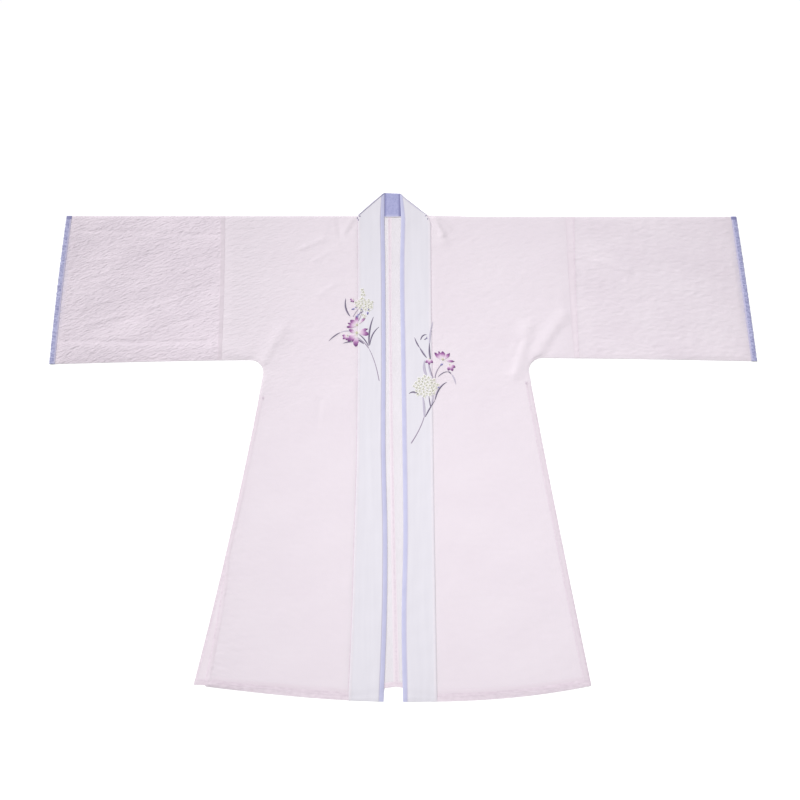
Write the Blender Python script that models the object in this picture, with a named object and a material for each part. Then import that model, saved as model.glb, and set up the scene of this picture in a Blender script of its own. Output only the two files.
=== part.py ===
"""An open-front hanfu cardigan of sheer cloth, laid flat on its back.

Left and right are the wearer's: the wearer's left is +X, the neck is towards +Y, and the back
lies on z = 0. Body and sleeve pieces are folded at the shoulder line, so each is one closed wall
of cloth with a back layer below and a front layer on it. The collar is one long strip with its
lining, up one front, folded over at the shoulder, behind the neck and down the other front.
All sizes are in metres.
"""

import math
from collections import namedtuple

import bmesh
import bpy
from mathutils import Vector

# Cloth
WALL = 0.001                 # one layer of cloth
GAP = 0.0003                 # clearance between pieces and between layers
CUFF_WALL = 0.0013           # the cuff trim is folded double
HEM_WIDTH = 0.010
HEM_EXTRA = 0.0005           # a turned hem stands this much higher
SEAM_WIDTH = 0.010           # allowance pressed flat beside a seam
SEAM_EXTRA = 0.0002
STEP_RUN = 0.001             # run of the step from a hem or allowance to single cloth
FOLD_BULGE = 0.00115         # how far a rounded fold stands out past its edge in the plan
FOLD_STEPS = 4               # flat faces round a fold
FRONT_FLOOR = WALL + GAP     # underside of the front layer where it lies on the back

# Body
CENTRE_X = -0.0141           # middle of the body as it lies
CHEST_HALF = 0.2831
ARMPIT_RADIUS = 0.030
ARMPIT_CORNER_DEG = 45       # on the armpit's curve, where the torso's rows turn into the arm's
UNDERARM_POWER = 1.5         # the underarm droops faster towards the cuff
HEM_Y = -0.5442              # lowest point of the front hem
CENTRE_BACK_TOP_X = -0.0314  # the centre-back seam lies a little askew
CENTRE_BACK_HEM_X = -0.0112
NECK_DIP = 0.0045            # the back neck is cut this much below the shoulder points
NECK_RISE_RUN = 0.110        # the shoulder climbs towards the neck over this length
FRONT_INSET_START_Y = -0.278
FRONT_INSET_POWER = 0.6
HEM_DROP_RUN = 0.008         # the front hem sinks to the floor this far past the back hem
LIFT_BLEND = 0.150           # height over which the back's rows catch up with the front's

# Collar
EDGE_STRIP = 0.0095          # lilac edge rolled out from the lining
TURNED_EDGE = 0.0012         # the outer strip is turned down at its seam with the body
EDGE_ROUND = 0.0004
BAND_HEIGHT = 2 * WALL + GAP
COLLAR_RISE_START_Y = 0.444
COLLAR_RISE_END_Y = 0.476    # from here up the front strips lie on the part behind the neck
COLLAR_FOLD_ROOM = 0.0015    # the collar's fold starts this far above the shoulder fold

# Cuffs
CUFF_WIDTH = 0.012
CUFF_BACK_BOW = 0.008        # the back layer's cuff is drawn in behind the front's at mid-height

# Grid
HEM_ROWS = 4                 # the hem's edge, both sides of its step, and just past the back hem
EDGE_COLUMNS = 2             # across a hem or an allowance: its flat and its step
ARMPIT_STEPS = 2             # on the armpit's curve, on each side of its corner
TORSO_COLUMNS = 10
BACK_COLUMNS = 5             # from the centre-back seam's allowance to under the collar's seam
SLIT_ROWS = 25
CHEST_ROWS = 2
ARM_ROWS = 16
ARM_COLUMNS = 2
SLEEVE_COLUMNS = 16
BAND_ROWS = 17
COLLAR_RISE_STEPS = 3        # up the collar's climb, and again from there to its fold
NECK_STATIONS = 10
SHARP_ANGLE_DEG = 35         # edges sharper than this are shaded as creases
ARMPIT_STEP_DEG = ARMPIT_CORNER_DEG / ARMPIT_STEPS

Side = namedtuple(
    "Side",
    "name sign shoulder_y neck_rise neck_cut underarm_y underarm_droop slit_top_y flare bow"
    " hem_half hem_rise hem_power front_inset seam_low seam_mid seam_top cuff_low cuff_mid cuff_top"
    " fold_tip_x fold_tip_y",
)
LEFT = Side(
    name="left", sign=1, shoulder_y=0.4830, neck_rise=0.0035, neck_cut=0.0089,
    underarm_y=0.1492, underarm_droop=0.007, slit_top_y=0.0915, flare=0.138, bow=0.017,
    hem_half=0.3776, hem_rise=0.0298, hem_power=2.6, front_inset=0.002,
    seam_low=0.3689, seam_mid=0.3667, seam_top=0.3682,
    cuff_low=0.7600, cuff_mid=0.7578, cuff_top=0.7537, fold_tip_x=-0.0057, fold_tip_y=0.5415,
)
RIGHT = Side(
    name="right", sign=-1, shoulder_y=0.4845, neck_rise=0.0, neck_cut=0.0,
    underarm_y=0.1447, underarm_droop=0.009, slit_top_y=0.0585, flare=0.132, bow=0.060,
    hem_half=0.3883, hem_rise=0.0310, hem_power=1.65, front_inset=0.0227,
    seam_low=0.3887, seam_mid=0.3930, seam_top=0.4009,
    cuff_low=0.7570, cuff_mid=0.7598, cuff_top=0.7586, fold_tip_x=-0.0410, fold_tip_y=0.5431,
)

# How far the back hem lies above the front hem, from the middle to the corner
HemLift = namedtuple("HemLift", "across lift")
BACK_HEM_LIFTS = (
    HemLift(0.0, 0.0275),
    HemLift(0.2, 0.0170),
    HemLift(0.4, 0.0118),
    HemLift(0.7, 0.0095),
    HemLift(1.0, 0.0000),
)

# Edges of the two front bands as they lie
BandSection = namedtuple("BandSection", "y right_outer right_inner left_inner left_outer")
BAND_SECTIONS = (
    BandSection(-0.5442, -0.1044, -0.0372, -0.0001, 0.0655),
    BandSection(-0.3895, -0.1001, -0.0322, -0.0024, 0.0646),
    BandSection(-0.2345, -0.0976, -0.0315, 0.0010, 0.0638),
    BandSection(-0.0505, -0.0952, -0.0360, -0.0005, 0.0633),
    BandSection(0.1465, -0.0965, -0.0367, -0.0030, 0.0628),
    BandSection(0.3515, -0.0980, -0.0385, -0.0055, 0.0629),
    BandSection(0.4835, -0.1006, -0.0413, -0.0030, 0.0635),
)

# Largest folds of the front layer
Fold = namedtuple("Fold", "x0 y0 x1 y1 height half_width")
FOLDS = (
    Fold(-0.734, 0.168, -0.400, 0.172, 0.0018, 0.018),
    Fold(-0.400, 0.172, -0.337, 0.162, 0.0014, 0.018),
    Fold(-0.292, 0.142, -0.262, 0.212, 0.0026, 0.015),
    Fold(0.290, 0.160, 0.350, 0.246, 0.0024, 0.015),
    Fold(0.240, 0.112, 0.271, 0.217, 0.0024, 0.015),
    Fold(0.075, 0.470, 0.092, 0.425, 0.0018, 0.014),
)

# Broad crinkles of the front layer: ridges along a direction, a wavelength apart
Crinkle = namedtuple("Crinkle", "direction_deg wavelength height phase")
BODY_CRINKLES = (
    Crinkle(4.0, 0.093, 0.0005, 0.4),
    Crinkle(-11.0, 0.151, 0.0006, 2.1),
)
SLEEVE_CRINKLES = {
    "left": (Crinkle(-5.0, 0.071, 0.0006, 0.9), Crinkle(3.0, 0.118, 0.0005, 2.6)),
    "right": (Crinkle(20.0, 0.064, 0.0011, 0.2), Crinkle(14.0, 0.109, 0.0007, 1.7)),
}

# Colours are in linear light
Finish = namedtuple("Finish", "colour roughness")
SHEER_PINK = Finish((0.80, 0.71, 0.77), 0.75)
BAND_GREY = Finish((0.82, 0.80, 0.89), 0.70)
LILAC = Finish((0.62, 0.61, 0.88), 0.60)


def mix(a, b, share):
    return a + (b - a) * share


def steps_between(start, end, count):
    """Even values from just past the start up to the end."""
    return [mix(start, end, k / count) for k in range(1, count + 1)]


def smooth_step(value):
    t = min(max(value, 0.0), 1.0)
    return t * t * (3 - 2 * t)


def bowed(low, mid, top, share):
    """A curve through three values, at shares 0, a half and 1."""
    return (
        low * (2 * share - 1) * (share - 1)
        + 4 * mid * share * (1 - share)
        + top * share * (2 * share - 1)
    )


def read_table(rows, key, column, at):
    """A column of a table at a key value, on a smooth curve through its rows."""
    keys = [getattr(row, key) for row in rows]
    values = [getattr(row, column) for row in rows]
    at = min(max(at, keys[0]), keys[-1])
    last = len(keys) - 1
    k = max(i for i in range(last) if keys[i] <= at)
    span = keys[k + 1] - keys[k]
    t = (at - keys[k]) / span

    def slope(i):
        low, high = max(i - 1, 0), min(i + 1, last)
        return (values[high] - values[low]) / (keys[high] - keys[low]) * span

    return (
        values[k] * (2 * t**3 - 3 * t**2 + 1)
        + slope(k) * (t**3 - 2 * t**2 + t)
        + values[k + 1] * (3 * t**2 - 2 * t**3)
        + slope(k + 1) * (t**3 - t**2)
    )


def band_edge(side, edge, y):
    x = read_table(BAND_SECTIONS, "y", f"{side.name}_{edge}", y)
    if edge == "outer":
        x -= side.sign * neck_inset(side, y)
    return x


def neck_inset(side, y):
    """How far the collar's seam bends in, over the body's last row below the shoulder."""
    top = side.shoulder_y + side.neck_rise
    start = mix(armpit_point(side, ARMPIT_CORNER_DEG)[1], top, 1 - 1 / ARM_ROWS)
    return side.neck_cut * min(max((y - start) / (top - start), 0.0), 1.0)


def fillet_y(side):
    """Where the straight side ends and the armpit's curve begins."""
    return side.underarm_y - ARMPIT_RADIUS


def side_x(side, y):
    """The side's edge, flared towards the hem."""
    below = fillet_y(side) - y
    return CENTRE_X + side.sign * (CHEST_HALF + side.flare * below + side.bow * below**2)


def armpit_point(side, degrees):
    """A point on the armpit's curve: 0 on the side's edge, 90 on the underarm."""
    angle = math.radians(degrees)
    x = side_x(side, fillet_y(side)) + side.sign * ARMPIT_RADIUS * (1 - math.cos(angle))
    y = fillet_y(side) + ARMPIT_RADIUS * math.sin(angle)
    return x, y


def underarm_y(side, x):
    start = armpit_point(side, 90)[0]
    reach = max((x - start) / (side.sign * side.cuff_low - start), 0.0)
    return side.underarm_y - side.underarm_droop * reach**UNDERARM_POWER


def seam_x(side, share):
    """The seam between body and sleeve, from the underarm up to the shoulder."""
    return side.sign * bowed(side.seam_low, side.seam_mid, side.seam_top, share)


def cuff_x(side, share):
    return side.sign * bowed(side.cuff_low, side.cuff_mid, side.cuff_top, share)


def hem_share(side, x):
    return min(abs(x - CENTRE_X) / side.hem_half, 1.0)


def hem_y(side, x):
    return HEM_Y + side.hem_rise * hem_share(side, x) ** side.hem_power


def hem_lift(side, x):
    return read_table(BACK_HEM_LIFTS, "across", "lift", hem_share(side, x))


def side_of(x):
    return LEFT if x > CENTRE_X else RIGHT


def centre_back_x(y):
    share = (y - HEM_Y) / (LEFT.shoulder_y - HEM_Y)
    return mix(CENTRE_BACK_HEM_X, CENTRE_BACK_TOP_X, share)


def shoulder_point(side):
    """The outer end of the collar's fold, just above the shoulder fold."""
    top = side.shoulder_y + side.neck_rise
    return band_edge(side, "outer", top), top + COLLAR_FOLD_ROOM


def shoulder_line(side, x):
    """The shoulder's fold, level out to the cuff and a little higher at the neck."""
    out = side.sign * (x - shoulder_point(side)[0]) / NECK_RISE_RUN
    return side.shoulder_y + side.neck_rise * min(max(1 - out, 0.0), 1.0)


def neck_y(x):
    """The seam between the back and the collar, from shoulder point to shoulder point."""
    right, left = shoulder_point(RIGHT), shoulder_point(LEFT)
    share = min(max((x - right[0]) / (left[0] - right[0]), 0.0), 1.0)
    return mix(right[1], left[1], share) - NECK_DIP * math.sin(math.pi * share)


def front_floor(x, y):
    """Underside of the front layer: on the back layer, and down on the floor past its hem."""
    side = side_of(x)
    back_hem = hem_y(side, x) + hem_lift(side, x)
    return FRONT_FLOOR * min(max(1 - (back_hem - y) / HEM_DROP_RUN, 0.0), 1.0)


def fold_height(x, y, crinkles):
    """How far the front layer's folds and broad crinkles lift it."""
    height = 0.0
    for fold in FOLDS:
        start = Vector((fold.x0, fold.y0))
        along = Vector((fold.x1, fold.y1)) - start
        offset = Vector((x, y)) - start
        share = min(max(offset.dot(along) / along.length_squared, 0.0), 1.0)
        apart = (offset - along * share).length / fold.half_width
        height += fold.height * math.exp(-(apart**2))
    for crinkle in crinkles:
        angle = math.radians(crinkle.direction_deg)
        across = y * math.cos(angle) - x * math.sin(angle)
        turn = 2 * math.pi * across / crinkle.wavelength + crinkle.phase
        height += crinkle.height * (0.5 + 0.5 * math.sin(turn))
    return height


class Layer:
    """One layer of cloth on a grid: the plan and the two heights of each point, and its cells."""

    def __init__(self):
        self.plan = {}
        self.floor = {}
        self.roof = {}
        self.cells = set()

    def add_point(self, key, x, y, floor, thickness):
        self.plan[key] = (x, y)
        self.floor[key] = floor
        self.roof[key] = floor + thickness

    def edge_keys(self):
        """The layer's boundary edges, each with the cell that it belongs to."""
        owners = {}
        for cell in self.cells:
            corners = cell_corners(cell)
            for k in range(4):
                edge = frozenset((corners[k], corners[(k + 1) % 4]))
                owners.setdefault(edge, []).append(cell)
        return {edge: cells[0] for edge, cells in owners.items() if len(cells) == 1}

    def lift_inside(self, crinkles):
        """Raise the folds on every point that isn't on an edge."""
        edges = self.edge_keys()
        on_edge = {key for edge in edges for key in edge}
        for key, (x, y) in self.plan.items():
            if key not in on_edge:
                height = fold_height(x, y, crinkles)
                self.floor[key] += height
                self.roof[key] += height


def cell_corners(cell):
    i, j = cell
    return [(i, j), (i + 1, j), (i + 1, j + 1), (i, j + 1)]


def outward_normals(layer, joined):
    """At each joined point, the plan direction that points out of the cloth."""
    owners = layer.edge_keys()
    normals = {}
    for edge in joined:
        a, b = sorted(edge)
        start, end = Vector(layer.plan[a]), Vector(layer.plan[b])
        along = end - start
        across = Vector((along.y, -along.x)).normalized()
        corners = [Vector(layer.plan[key]) for key in cell_corners(owners[edge])]
        centre = sum(corners, Vector((0, 0))) / len(corners)
        if across.dot(start - centre) < 0:
            across.negate()
        for key in (a, b):
            normals[key] = normals.get(key, Vector((0, 0))) + across
    return {key: normal.normalized() for key, normal in normals.items()}


def folded_panel(name, back, front, joined, material):
    """One closed wall of cloth: a back layer and a front layer, joined along the given edges."""
    mesh = bmesh.new()
    skins = {}
    for layer_name, layer in (("back", back), ("front", front)):
        for skin_name, heights in (("floor", layer.floor), ("roof", layer.roof)):
            skin = {
                key: mesh.verts.new((x, y, heights[key])) for key, (x, y) in layer.plan.items()
            }
            skins[layer_name, skin_name] = skin
            for cell in layer.cells:
                mesh.faces.new([skin[key] for key in cell_corners(cell)])
        floor, roof = skins[layer_name, "floor"], skins[layer_name, "roof"]
        for edge in layer.edge_keys():
            if edge not in joined:
                a, b = sorted(edge)
                mesh.faces.new((floor[a], floor[b], roof[b], roof[a]))

    arcs = {}
    for key, normal in outward_normals(front, joined).items():
        middle = front.roof[key] / 2
        arc = [skins["back", "floor"][key]]
        for k in range(1, FOLD_STEPS):
            angle = math.pi * k / FOLD_STEPS
            out = normal * FOLD_BULGE * math.sin(angle)
            x, y = front.plan[key]
            arc.append(mesh.verts.new((x + out.x, y + out.y, middle * (1 - math.cos(angle)))))
        arc.append(skins["front", "roof"][key])
        arcs[key] = arc

    back_roof, front_floor_skin = skins["back", "roof"], skins["front", "floor"]
    for edge in joined:
        a, b = sorted(edge)
        mesh.faces.new((back_roof[a], back_roof[b], front_floor_skin[b], front_floor_skin[a]))
        for k in range(FOLD_STEPS):
            mesh.faces.new((arcs[a][k], arcs[b][k], arcs[b][k + 1], arcs[a][k + 1]))
    for key, arc in arcs.items():
        if sum(key in edge for edge in joined) == 1:
            mesh.faces.new(arc + [front_floor_skin[key], back_roof[key]])
    return finish_mesh(mesh, name, material)


def finish_mesh(mesh, name, material):
    bmesh.ops.recalc_face_normals(mesh, faces=mesh.faces)
    data = bpy.data.meshes.new(name)
    mesh.to_mesh(data)
    mesh.free()
    data.materials.append(material)
    data.shade_smooth()
    data.set_sharp_from_angle(angle=math.radians(SHARP_ANGLE_DEG))
    piece = bpy.data.objects.new(name, data)
    bpy.context.scene.collection.objects.link(piece)
    return piece


def make_material(name, finish):
    material = bpy.data.materials.new(name)
    material.use_nodes = True
    shader = material.node_tree.nodes["Principled BSDF"]
    shader.inputs["Base Color"].default_value = (*finish.colour, 1.0)
    shader.inputs["Roughness"].default_value = finish.roughness
    shader.inputs["Metallic"].default_value = 0.0
    return material


class BodyGrid:
    """Rows and columns of one half of the body, shared by its front and its back.

    Columns run from the collar's seam (0) to the side and on to the sleeve seam; the back has
    more, below 0, from the centre-back seam. Rows run from the hem up to the shoulder.
    """

    def __init__(self, side):
        self.side = side
        self.side_column = TORSO_COLUMNS + EDGE_COLUMNS
        self.last_column = self.side_column + ARMPIT_STEPS + ARM_COLUMNS + EDGE_COLUMNS
        self.first_back_column = -EDGE_COLUMNS - BACK_COLUMNS
        top = fillet_y(side) - HEM_Y
        slit = side.slit_top_y - HEM_Y
        hem_rows = [0.0, HEM_WIDTH, HEM_WIDTH + STEP_RUN]
        start = hem_rows[-1] + BACK_HEM_LIFTS[0].lift
        slit_rows = steps_between(start, slit, SLIT_ROWS)
        chest_rows = steps_between(slit, top, CHEST_ROWS)
        self.rises = hem_rows + [None] + slit_rows + chest_rows
        self.slit_row = HEM_ROWS - 1 + SLIT_ROWS
        self.fillet_row = len(self.rises) - 1
        self.corner_row = self.fillet_row + ARMPIT_STEPS
        self.last_row = self.corner_row + ARM_ROWS

    def rise(self, row, x):
        """Height of a torso row above the hem. One row follows the back hem, just past it."""
        if self.rises[row] is not None:
            return self.rises[row]
        lowest = HEM_WIDTH + 3 * STEP_RUN
        return max(hem_lift(self.side, x) + STEP_RUN, lowest)

    def torso_y(self, row, x, is_back):
        hem, top = hem_y(self.side, x), fillet_y(self.side)
        rise = self.rise(row, x)
        y = hem + rise * (top - hem) / (top - HEM_Y)
        if is_back:
            y += hem_lift(self.side, x) * max(1 - rise / LIFT_BLEND, 0.0)
        return y

    def edge_inset(self, y, is_back):
        """How far the front's slit edge lies inside the back's."""
        if is_back or y > FRONT_INSET_START_Y:
            return 0.0
        share = (FRONT_INSET_START_Y - y) / (FRONT_INSET_START_Y - HEM_Y)
        return self.side.front_inset * share**FRONT_INSET_POWER

    def side_end(self, row, is_back):
        """The point of a torso row on the body's side."""
        side = self.side
        if row > self.fillet_row:
            steps = min(row, self.corner_row) - self.fillet_row
            return armpit_point(side, ARMPIT_STEP_DEG * steps)
        hem_corner = CENTRE_X + side.sign * side.hem_half
        y = self.torso_y(row, hem_corner, is_back)
        return side_x(side, y) - side.sign * self.edge_inset(y, is_back), y

    def row_height(self, row, x, is_back):
        side = self.side
        if row <= self.fillet_row:
            return self.torso_y(row, x, is_back)
        if row <= self.corner_row:
            return armpit_point(side, ARMPIT_STEP_DEG * (row - self.fillet_row))[1]
        share = (row - self.corner_row) / ARM_ROWS
        corner_y = armpit_point(side, ARMPIT_CORNER_DEG)[1]
        return mix(corner_y, shoulder_line(side, x), share)

    def point(self, column, row, is_back):
        side = self.side
        if column > self.side_column:
            return self.arm_point(column, row)
        end_x, end_y = self.side_end(row, is_back)
        inner_x = self.collar_seam_x(row, is_back)
        if column < 0:
            return self.back_point(column, row, inner_x)
        hem_starts = (HEM_WIDTH + STEP_RUN, HEM_WIDTH, 0.0)
        if column >= TORSO_COLUMNS:
            x = end_x - side.sign * hem_starts[column - TORSO_COLUMNS]
        else:
            x = mix(inner_x, end_x - side.sign * hem_starts[0], column / TORSO_COLUMNS)
        if column == self.side_column and row <= self.corner_row:
            return end_x, end_y
        return x, self.row_height(row, x, is_back)

    def collar_seam_x(self, row, is_back):
        guess = shoulder_point(self.side)[0]
        y = self.row_height(row, guess, is_back)
        return band_edge(self.side, "outer", y) + self.side.sign * GAP

    def back_point(self, column, row, inner_x):
        """Columns of the back alone: at the centre-back seam, its allowance, and evenly on."""
        side = self.side
        seam_starts = (GAP / 2, SEAM_WIDTH / 2, SEAM_WIDTH / 2 + STEP_RUN)
        step = column - self.first_back_column
        guess_y = self.row_height(row, CENTRE_X, True)
        x = centre_back_x(guess_y) + side.sign * seam_starts[min(step, EDGE_COLUMNS)]
        if step > EDGE_COLUMNS:
            x = mix(x, inner_x, (step - EDGE_COLUMNS) / BACK_COLUMNS)
        y = self.row_height(row, x, True)
        if row > self.corner_row:
            share = (row - self.corner_row) / ARM_ROWS
            y = mix(armpit_point(side, ARMPIT_CORNER_DEG)[1], neck_y(x) - GAP, share)
        return x, y

    def arm_point(self, column, row):
        """Columns past the side, from the armpit to the seam with the sleeve."""
        side = self.side
        share = (row - self.corner_row) / ARM_ROWS
        step = column - self.side_column
        if step <= ARMPIT_STEPS:
            x, low_y = armpit_point(side, ARMPIT_CORNER_DEG + ARMPIT_STEP_DEG * step)
        else:
            x = self.arm_column_x(step - ARMPIT_STEPS, share)
            low_y = underarm_y(side, x)
        return x, mix(low_y, side.shoulder_y, share)

    def arm_column_x(self, step, share):
        """Even columns up to the seam's allowance, then the allowance's step and the seam."""
        side = self.side
        seam = seam_x(side, share) - side.sign * GAP / 2
        from_seam = (SEAM_WIDTH + STEP_RUN, SEAM_WIDTH, 0.0)
        if step >= ARM_COLUMNS:
            return seam - side.sign * from_seam[step - ARM_COLUMNS]
        start = armpit_point(side, 90)[0]
        return mix(start, seam - side.sign * from_seam[0], step / ARM_COLUMNS)


def body_layer(grid, is_back):
    layer = Layer()
    first = grid.first_back_column if is_back else 0
    for row in range(grid.last_row + 1):
        last = grid.last_column if row >= grid.corner_row else grid.side_column
        for column in range(first, last + 1):
            x, y = grid.point(column, row, is_back)
            floor = 0.0 if is_back else front_floor(x, y)
            layer.add_point((column, row), x, y, floor, body_thickness(grid, column, row, is_back))
    for column, row in layer.plan:
        if all(key in layer.plan for key in cell_corners((column, row))):
            layer.cells.add((column, row))
    return layer


def body_thickness(grid, column, row, is_back):
    if is_back:
        in_allowance = column < grid.first_back_column + EDGE_COLUMNS
        beside_seam = in_allowance and 1 < row < grid.last_row - 1
        return WALL + (SEAM_EXTRA if beside_seam else 0.0)
    in_hem = row < 2 or (grid.side_column - 1 <= column and row < grid.slit_row)
    if in_hem:
        return WALL + HEM_EXTRA
    in_allowance = column > grid.last_column - EDGE_COLUMNS
    by_sleeve = in_allowance and grid.corner_row < row < grid.last_row
    return WALL + (SEAM_EXTRA if by_sleeve else 0.0)


def make_body(side, material):
    """Half of the body, its front and back cut in one."""
    grid = BodyGrid(side)
    back, front = body_layer(grid, True), body_layer(grid, False)
    front.lift_inside(BODY_CRINKLES)
    joined = set()
    for column in range(grid.last_column):
        joined.add(frozenset(((column, grid.last_row), (column + 1, grid.last_row))))
    for row in range(grid.slit_row, grid.corner_row):
        joined.add(frozenset(((grid.side_column, row), (grid.side_column, row + 1))))
    for column in range(grid.side_column, grid.last_column):
        joined.add(frozenset(((column, grid.corner_row), (column + 1, grid.corner_row))))
    return folded_panel(f"body_{side.name}", back, front, joined, material)


def tube_layer(side, start, end, columns, thickness, is_back):
    """One layer of a flat tube across the arm, from one share-wise edge to another."""
    layer = Layer()
    for row in range(ARM_ROWS + 1):
        share = row / ARM_ROWS
        bow = CUFF_BACK_BOW * 4 * share * (1 - share) if is_back else 0.0
        for column in range(columns + 1):
            along = column / columns
            x = mix(start(share), end(share), along)
            y = mix(underarm_y(side, x), side.shoulder_y, share)
            reach = (abs(x) - side.seam_mid) / (side.cuff_mid - side.seam_mid)
            x -= side.sign * bow * smooth_step(reach)
            floor = 0.0 if is_back else thickness + GAP
            layer.add_point((column, row), x, y, floor, thickness)
    layer.cells = {(i, j) for i in range(columns) for j in range(ARM_ROWS)}
    return layer


def joined_rows(columns):
    """The two long edges of a flat tube: the underarm and the shoulder."""
    return {
        frozenset(((column, row), (column + 1, row)))
        for column in range(columns)
        for row in (0, ARM_ROWS)
    }


def make_sleeve(side, material):
    def start(share):
        return seam_x(side, share) + side.sign * GAP / 2

    def end(share):
        return cuff_x(side, share) - side.sign * (CUFF_WIDTH + GAP)

    back = tube_layer(side, start, end, SLEEVE_COLUMNS, WALL, True)
    front = tube_layer(side, start, end, SLEEVE_COLUMNS, WALL, False)
    front.lift_inside(SLEEVE_CRINKLES[side.name])
    return folded_panel(f"sleeve_{side.name}", back, front, joined_rows(SLEEVE_COLUMNS), material)


def make_cuff(side, material):
    def start(share):
        return cuff_x(side, share) - side.sign * CUFF_WIDTH

    def end(share):
        return cuff_x(side, share)

    back = tube_layer(side, start, end, 1, CUFF_WALL, True)
    front = tube_layer(side, start, end, 1, CUFF_WALL, False)
    return folded_panel(f"cuff_{side.name}", back, front, joined_rows(1), material)


class Station:
    """A line across the collar strip, from its outer (seam) edge to its inner (free) edge."""

    def __init__(self, outer, inner, turn=0.0, out=Vector((0, 0))):
        self.outer = Vector(outer)
        self.inner = Vector(inner)
        self.turn = turn
        self.out = out

    def place(self, share, shift, height):
        """A point of the profile: across by share and shift, and up from the lining's side."""
        width = (self.inner - self.outer).length
        flat = self.outer.lerp(self.inner, share + shift / width)
        if self.turn == 0.0:
            return (*flat, band_floor(*flat) + height)
        reach = height + GAP / 2
        bulge = self.out * reach * math.sin(self.turn)
        z = BAND_HEIGHT + GAP / 2 + reach * math.cos(self.turn)
        return (flat.x + bulge.x, flat.y + bulge.y, z)


def band_floor(x, y):
    """Underside of the front strips, which climb onto the part behind the neck."""
    climb = (y - COLLAR_RISE_START_Y) / (COLLAR_RISE_END_Y - COLLAR_RISE_START_Y)
    above = BAND_HEIGHT + GAP - FRONT_FLOOR
    return front_floor(x, y) + above * smooth_step(climb)


def front_stations(side):
    """From the hem up to just before the collar's fold."""
    grid = BodyGrid(side)
    stations = []
    for row in range(HEM_ROWS):
        ends = []
        for edge in ("outer", "inner"):
            y = grid.torso_y(row, band_edge(side, edge, HEM_Y), False)
            ends.append((band_edge(side, edge, y), y))
        stations.append(Station(*ends))
    start = HEM_Y + HEM_WIDTH + BACK_HEM_LIFTS[0].lift
    levels = steps_between(start, COLLAR_RISE_START_Y, BAND_ROWS)
    levels += steps_between(COLLAR_RISE_START_Y, COLLAR_RISE_END_Y, COLLAR_RISE_STEPS)
    for y in levels:
        stations.append(Station((band_edge(side, "outer", y), y), (band_edge(side, "inner", y), y)))
    outer, inner = fold_line(side)
    before = stations[-1]
    for share in steps_between(0, 1, COLLAR_RISE_STEPS)[:-1]:
        stations.append(Station(before.outer.lerp(outer, share), before.inner.lerp(inner, share)))
    return stations


def fold_line(side):
    return Vector(shoulder_point(side)), Vector((side.fold_tip_x, side.fold_tip_y))


def fold_stations(side):
    """Round the collar's fold at one shoulder, from the front strip to the part behind."""
    outer, inner = fold_line(side)
    along = (inner - outer).normalized()
    out = Vector((along.y, -along.x)) * side.sign
    return [Station(outer, inner, math.pi * k / FOLD_STEPS, out) for k in range(FOLD_STEPS + 1)]


def neck_stations():
    """Behind the neck, from the right fold to the left one."""
    right, left = fold_line(RIGHT), fold_line(LEFT)
    stations = []
    for k in range(1, NECK_STATIONS):
        share = k / NECK_STATIONS
        x = mix(right[0].x, left[0].x, share)
        stations.append(Station((x, neck_y(x)), right[1].lerp(left[1], share), math.pi))
    return stations


def collar_stations():
    up = front_stations(RIGHT) + fold_stations(RIGHT)
    down = front_stations(LEFT) + fold_stations(LEFT)
    return up + neck_stations() + down[::-1]


ProfilePoint = namedtuple("ProfilePoint", "share shift height")
INNER_STRIP_EDGE = EDGE_STRIP + GAP
BAND_PROFILE = (
    ProfilePoint(0, 0.0, 0.0),
    ProfilePoint(0, 0.0, BAND_HEIGHT - EDGE_ROUND),
    ProfilePoint(0, EDGE_ROUND, BAND_HEIGHT),
    ProfilePoint(1, -INNER_STRIP_EDGE, BAND_HEIGHT),
    ProfilePoint(1, -INNER_STRIP_EDGE, FRONT_FLOOR),
    ProfilePoint(0, TURNED_EDGE, FRONT_FLOOR),
    ProfilePoint(0, TURNED_EDGE, 0.0),
)
LINING_PROFILE = (
    ProfilePoint(0, TURNED_EDGE + GAP, 0.0),
    ProfilePoint(0, TURNED_EDGE + GAP, WALL),
    ProfilePoint(1, -EDGE_STRIP, WALL),
    ProfilePoint(1, -EDGE_STRIP, BAND_HEIGHT),
    ProfilePoint(1, -EDGE_ROUND, BAND_HEIGHT),
    ProfilePoint(1, 0.0, BAND_HEIGHT - EDGE_ROUND),
    ProfilePoint(1, 0.0, EDGE_ROUND),
    ProfilePoint(1, -EDGE_ROUND, 0.0),
)


def make_strip(name, profile, stations, material):
    """Sweep a closed profile along the collar's stations and close both ends."""
    mesh = bmesh.new()
    rings = [[mesh.verts.new(station.place(*point)) for point in profile] for station in stations]
    count = len(profile)
    for ring, following in zip(rings, rings[1:]):
        for k in range(count):
            after = (k + 1) % count
            mesh.faces.new((ring[k], ring[after], following[after], following[k]))
    mesh.faces.new(rings[0])
    mesh.faces.new(rings[-1][::-1])
    return finish_mesh(mesh, name, material)


def clear_scene():
    for piece in list(bpy.data.objects):
        bpy.data.objects.remove(piece)


def main():
    clear_scene()
    for side in (LEFT, RIGHT):
        make_body(side, make_material(f"body_{side.name}_cloth", SHEER_PINK))
        make_sleeve(side, make_material(f"sleeve_{side.name}_cloth", SHEER_PINK))
        make_cuff(side, make_material(f"cuff_{side.name}_cloth", LILAC))
    stations = collar_stations()
    make_strip("collar_band", BAND_PROFILE, stations, make_material("band_cloth", BAND_GREY))
    make_strip("collar_lining", LINING_PROFILE, stations, make_material("lining_cloth", LILAC))


main()
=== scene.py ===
"""Looks of an open-front hanfu cardigan of sheer crinkled cloth, laid flat on its back.

Left and right are the wearer's: the wearer's left is +X, the neck is towards +Y, and +Z is up.
Each piece is a thin shell of cloth on the form of the solid that it replaces, so the plan below
repeats the solids' driving sizes. Only the collar's lilac strip is a little narrower than its
solid's. All sizes are in metres.
"""

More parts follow.
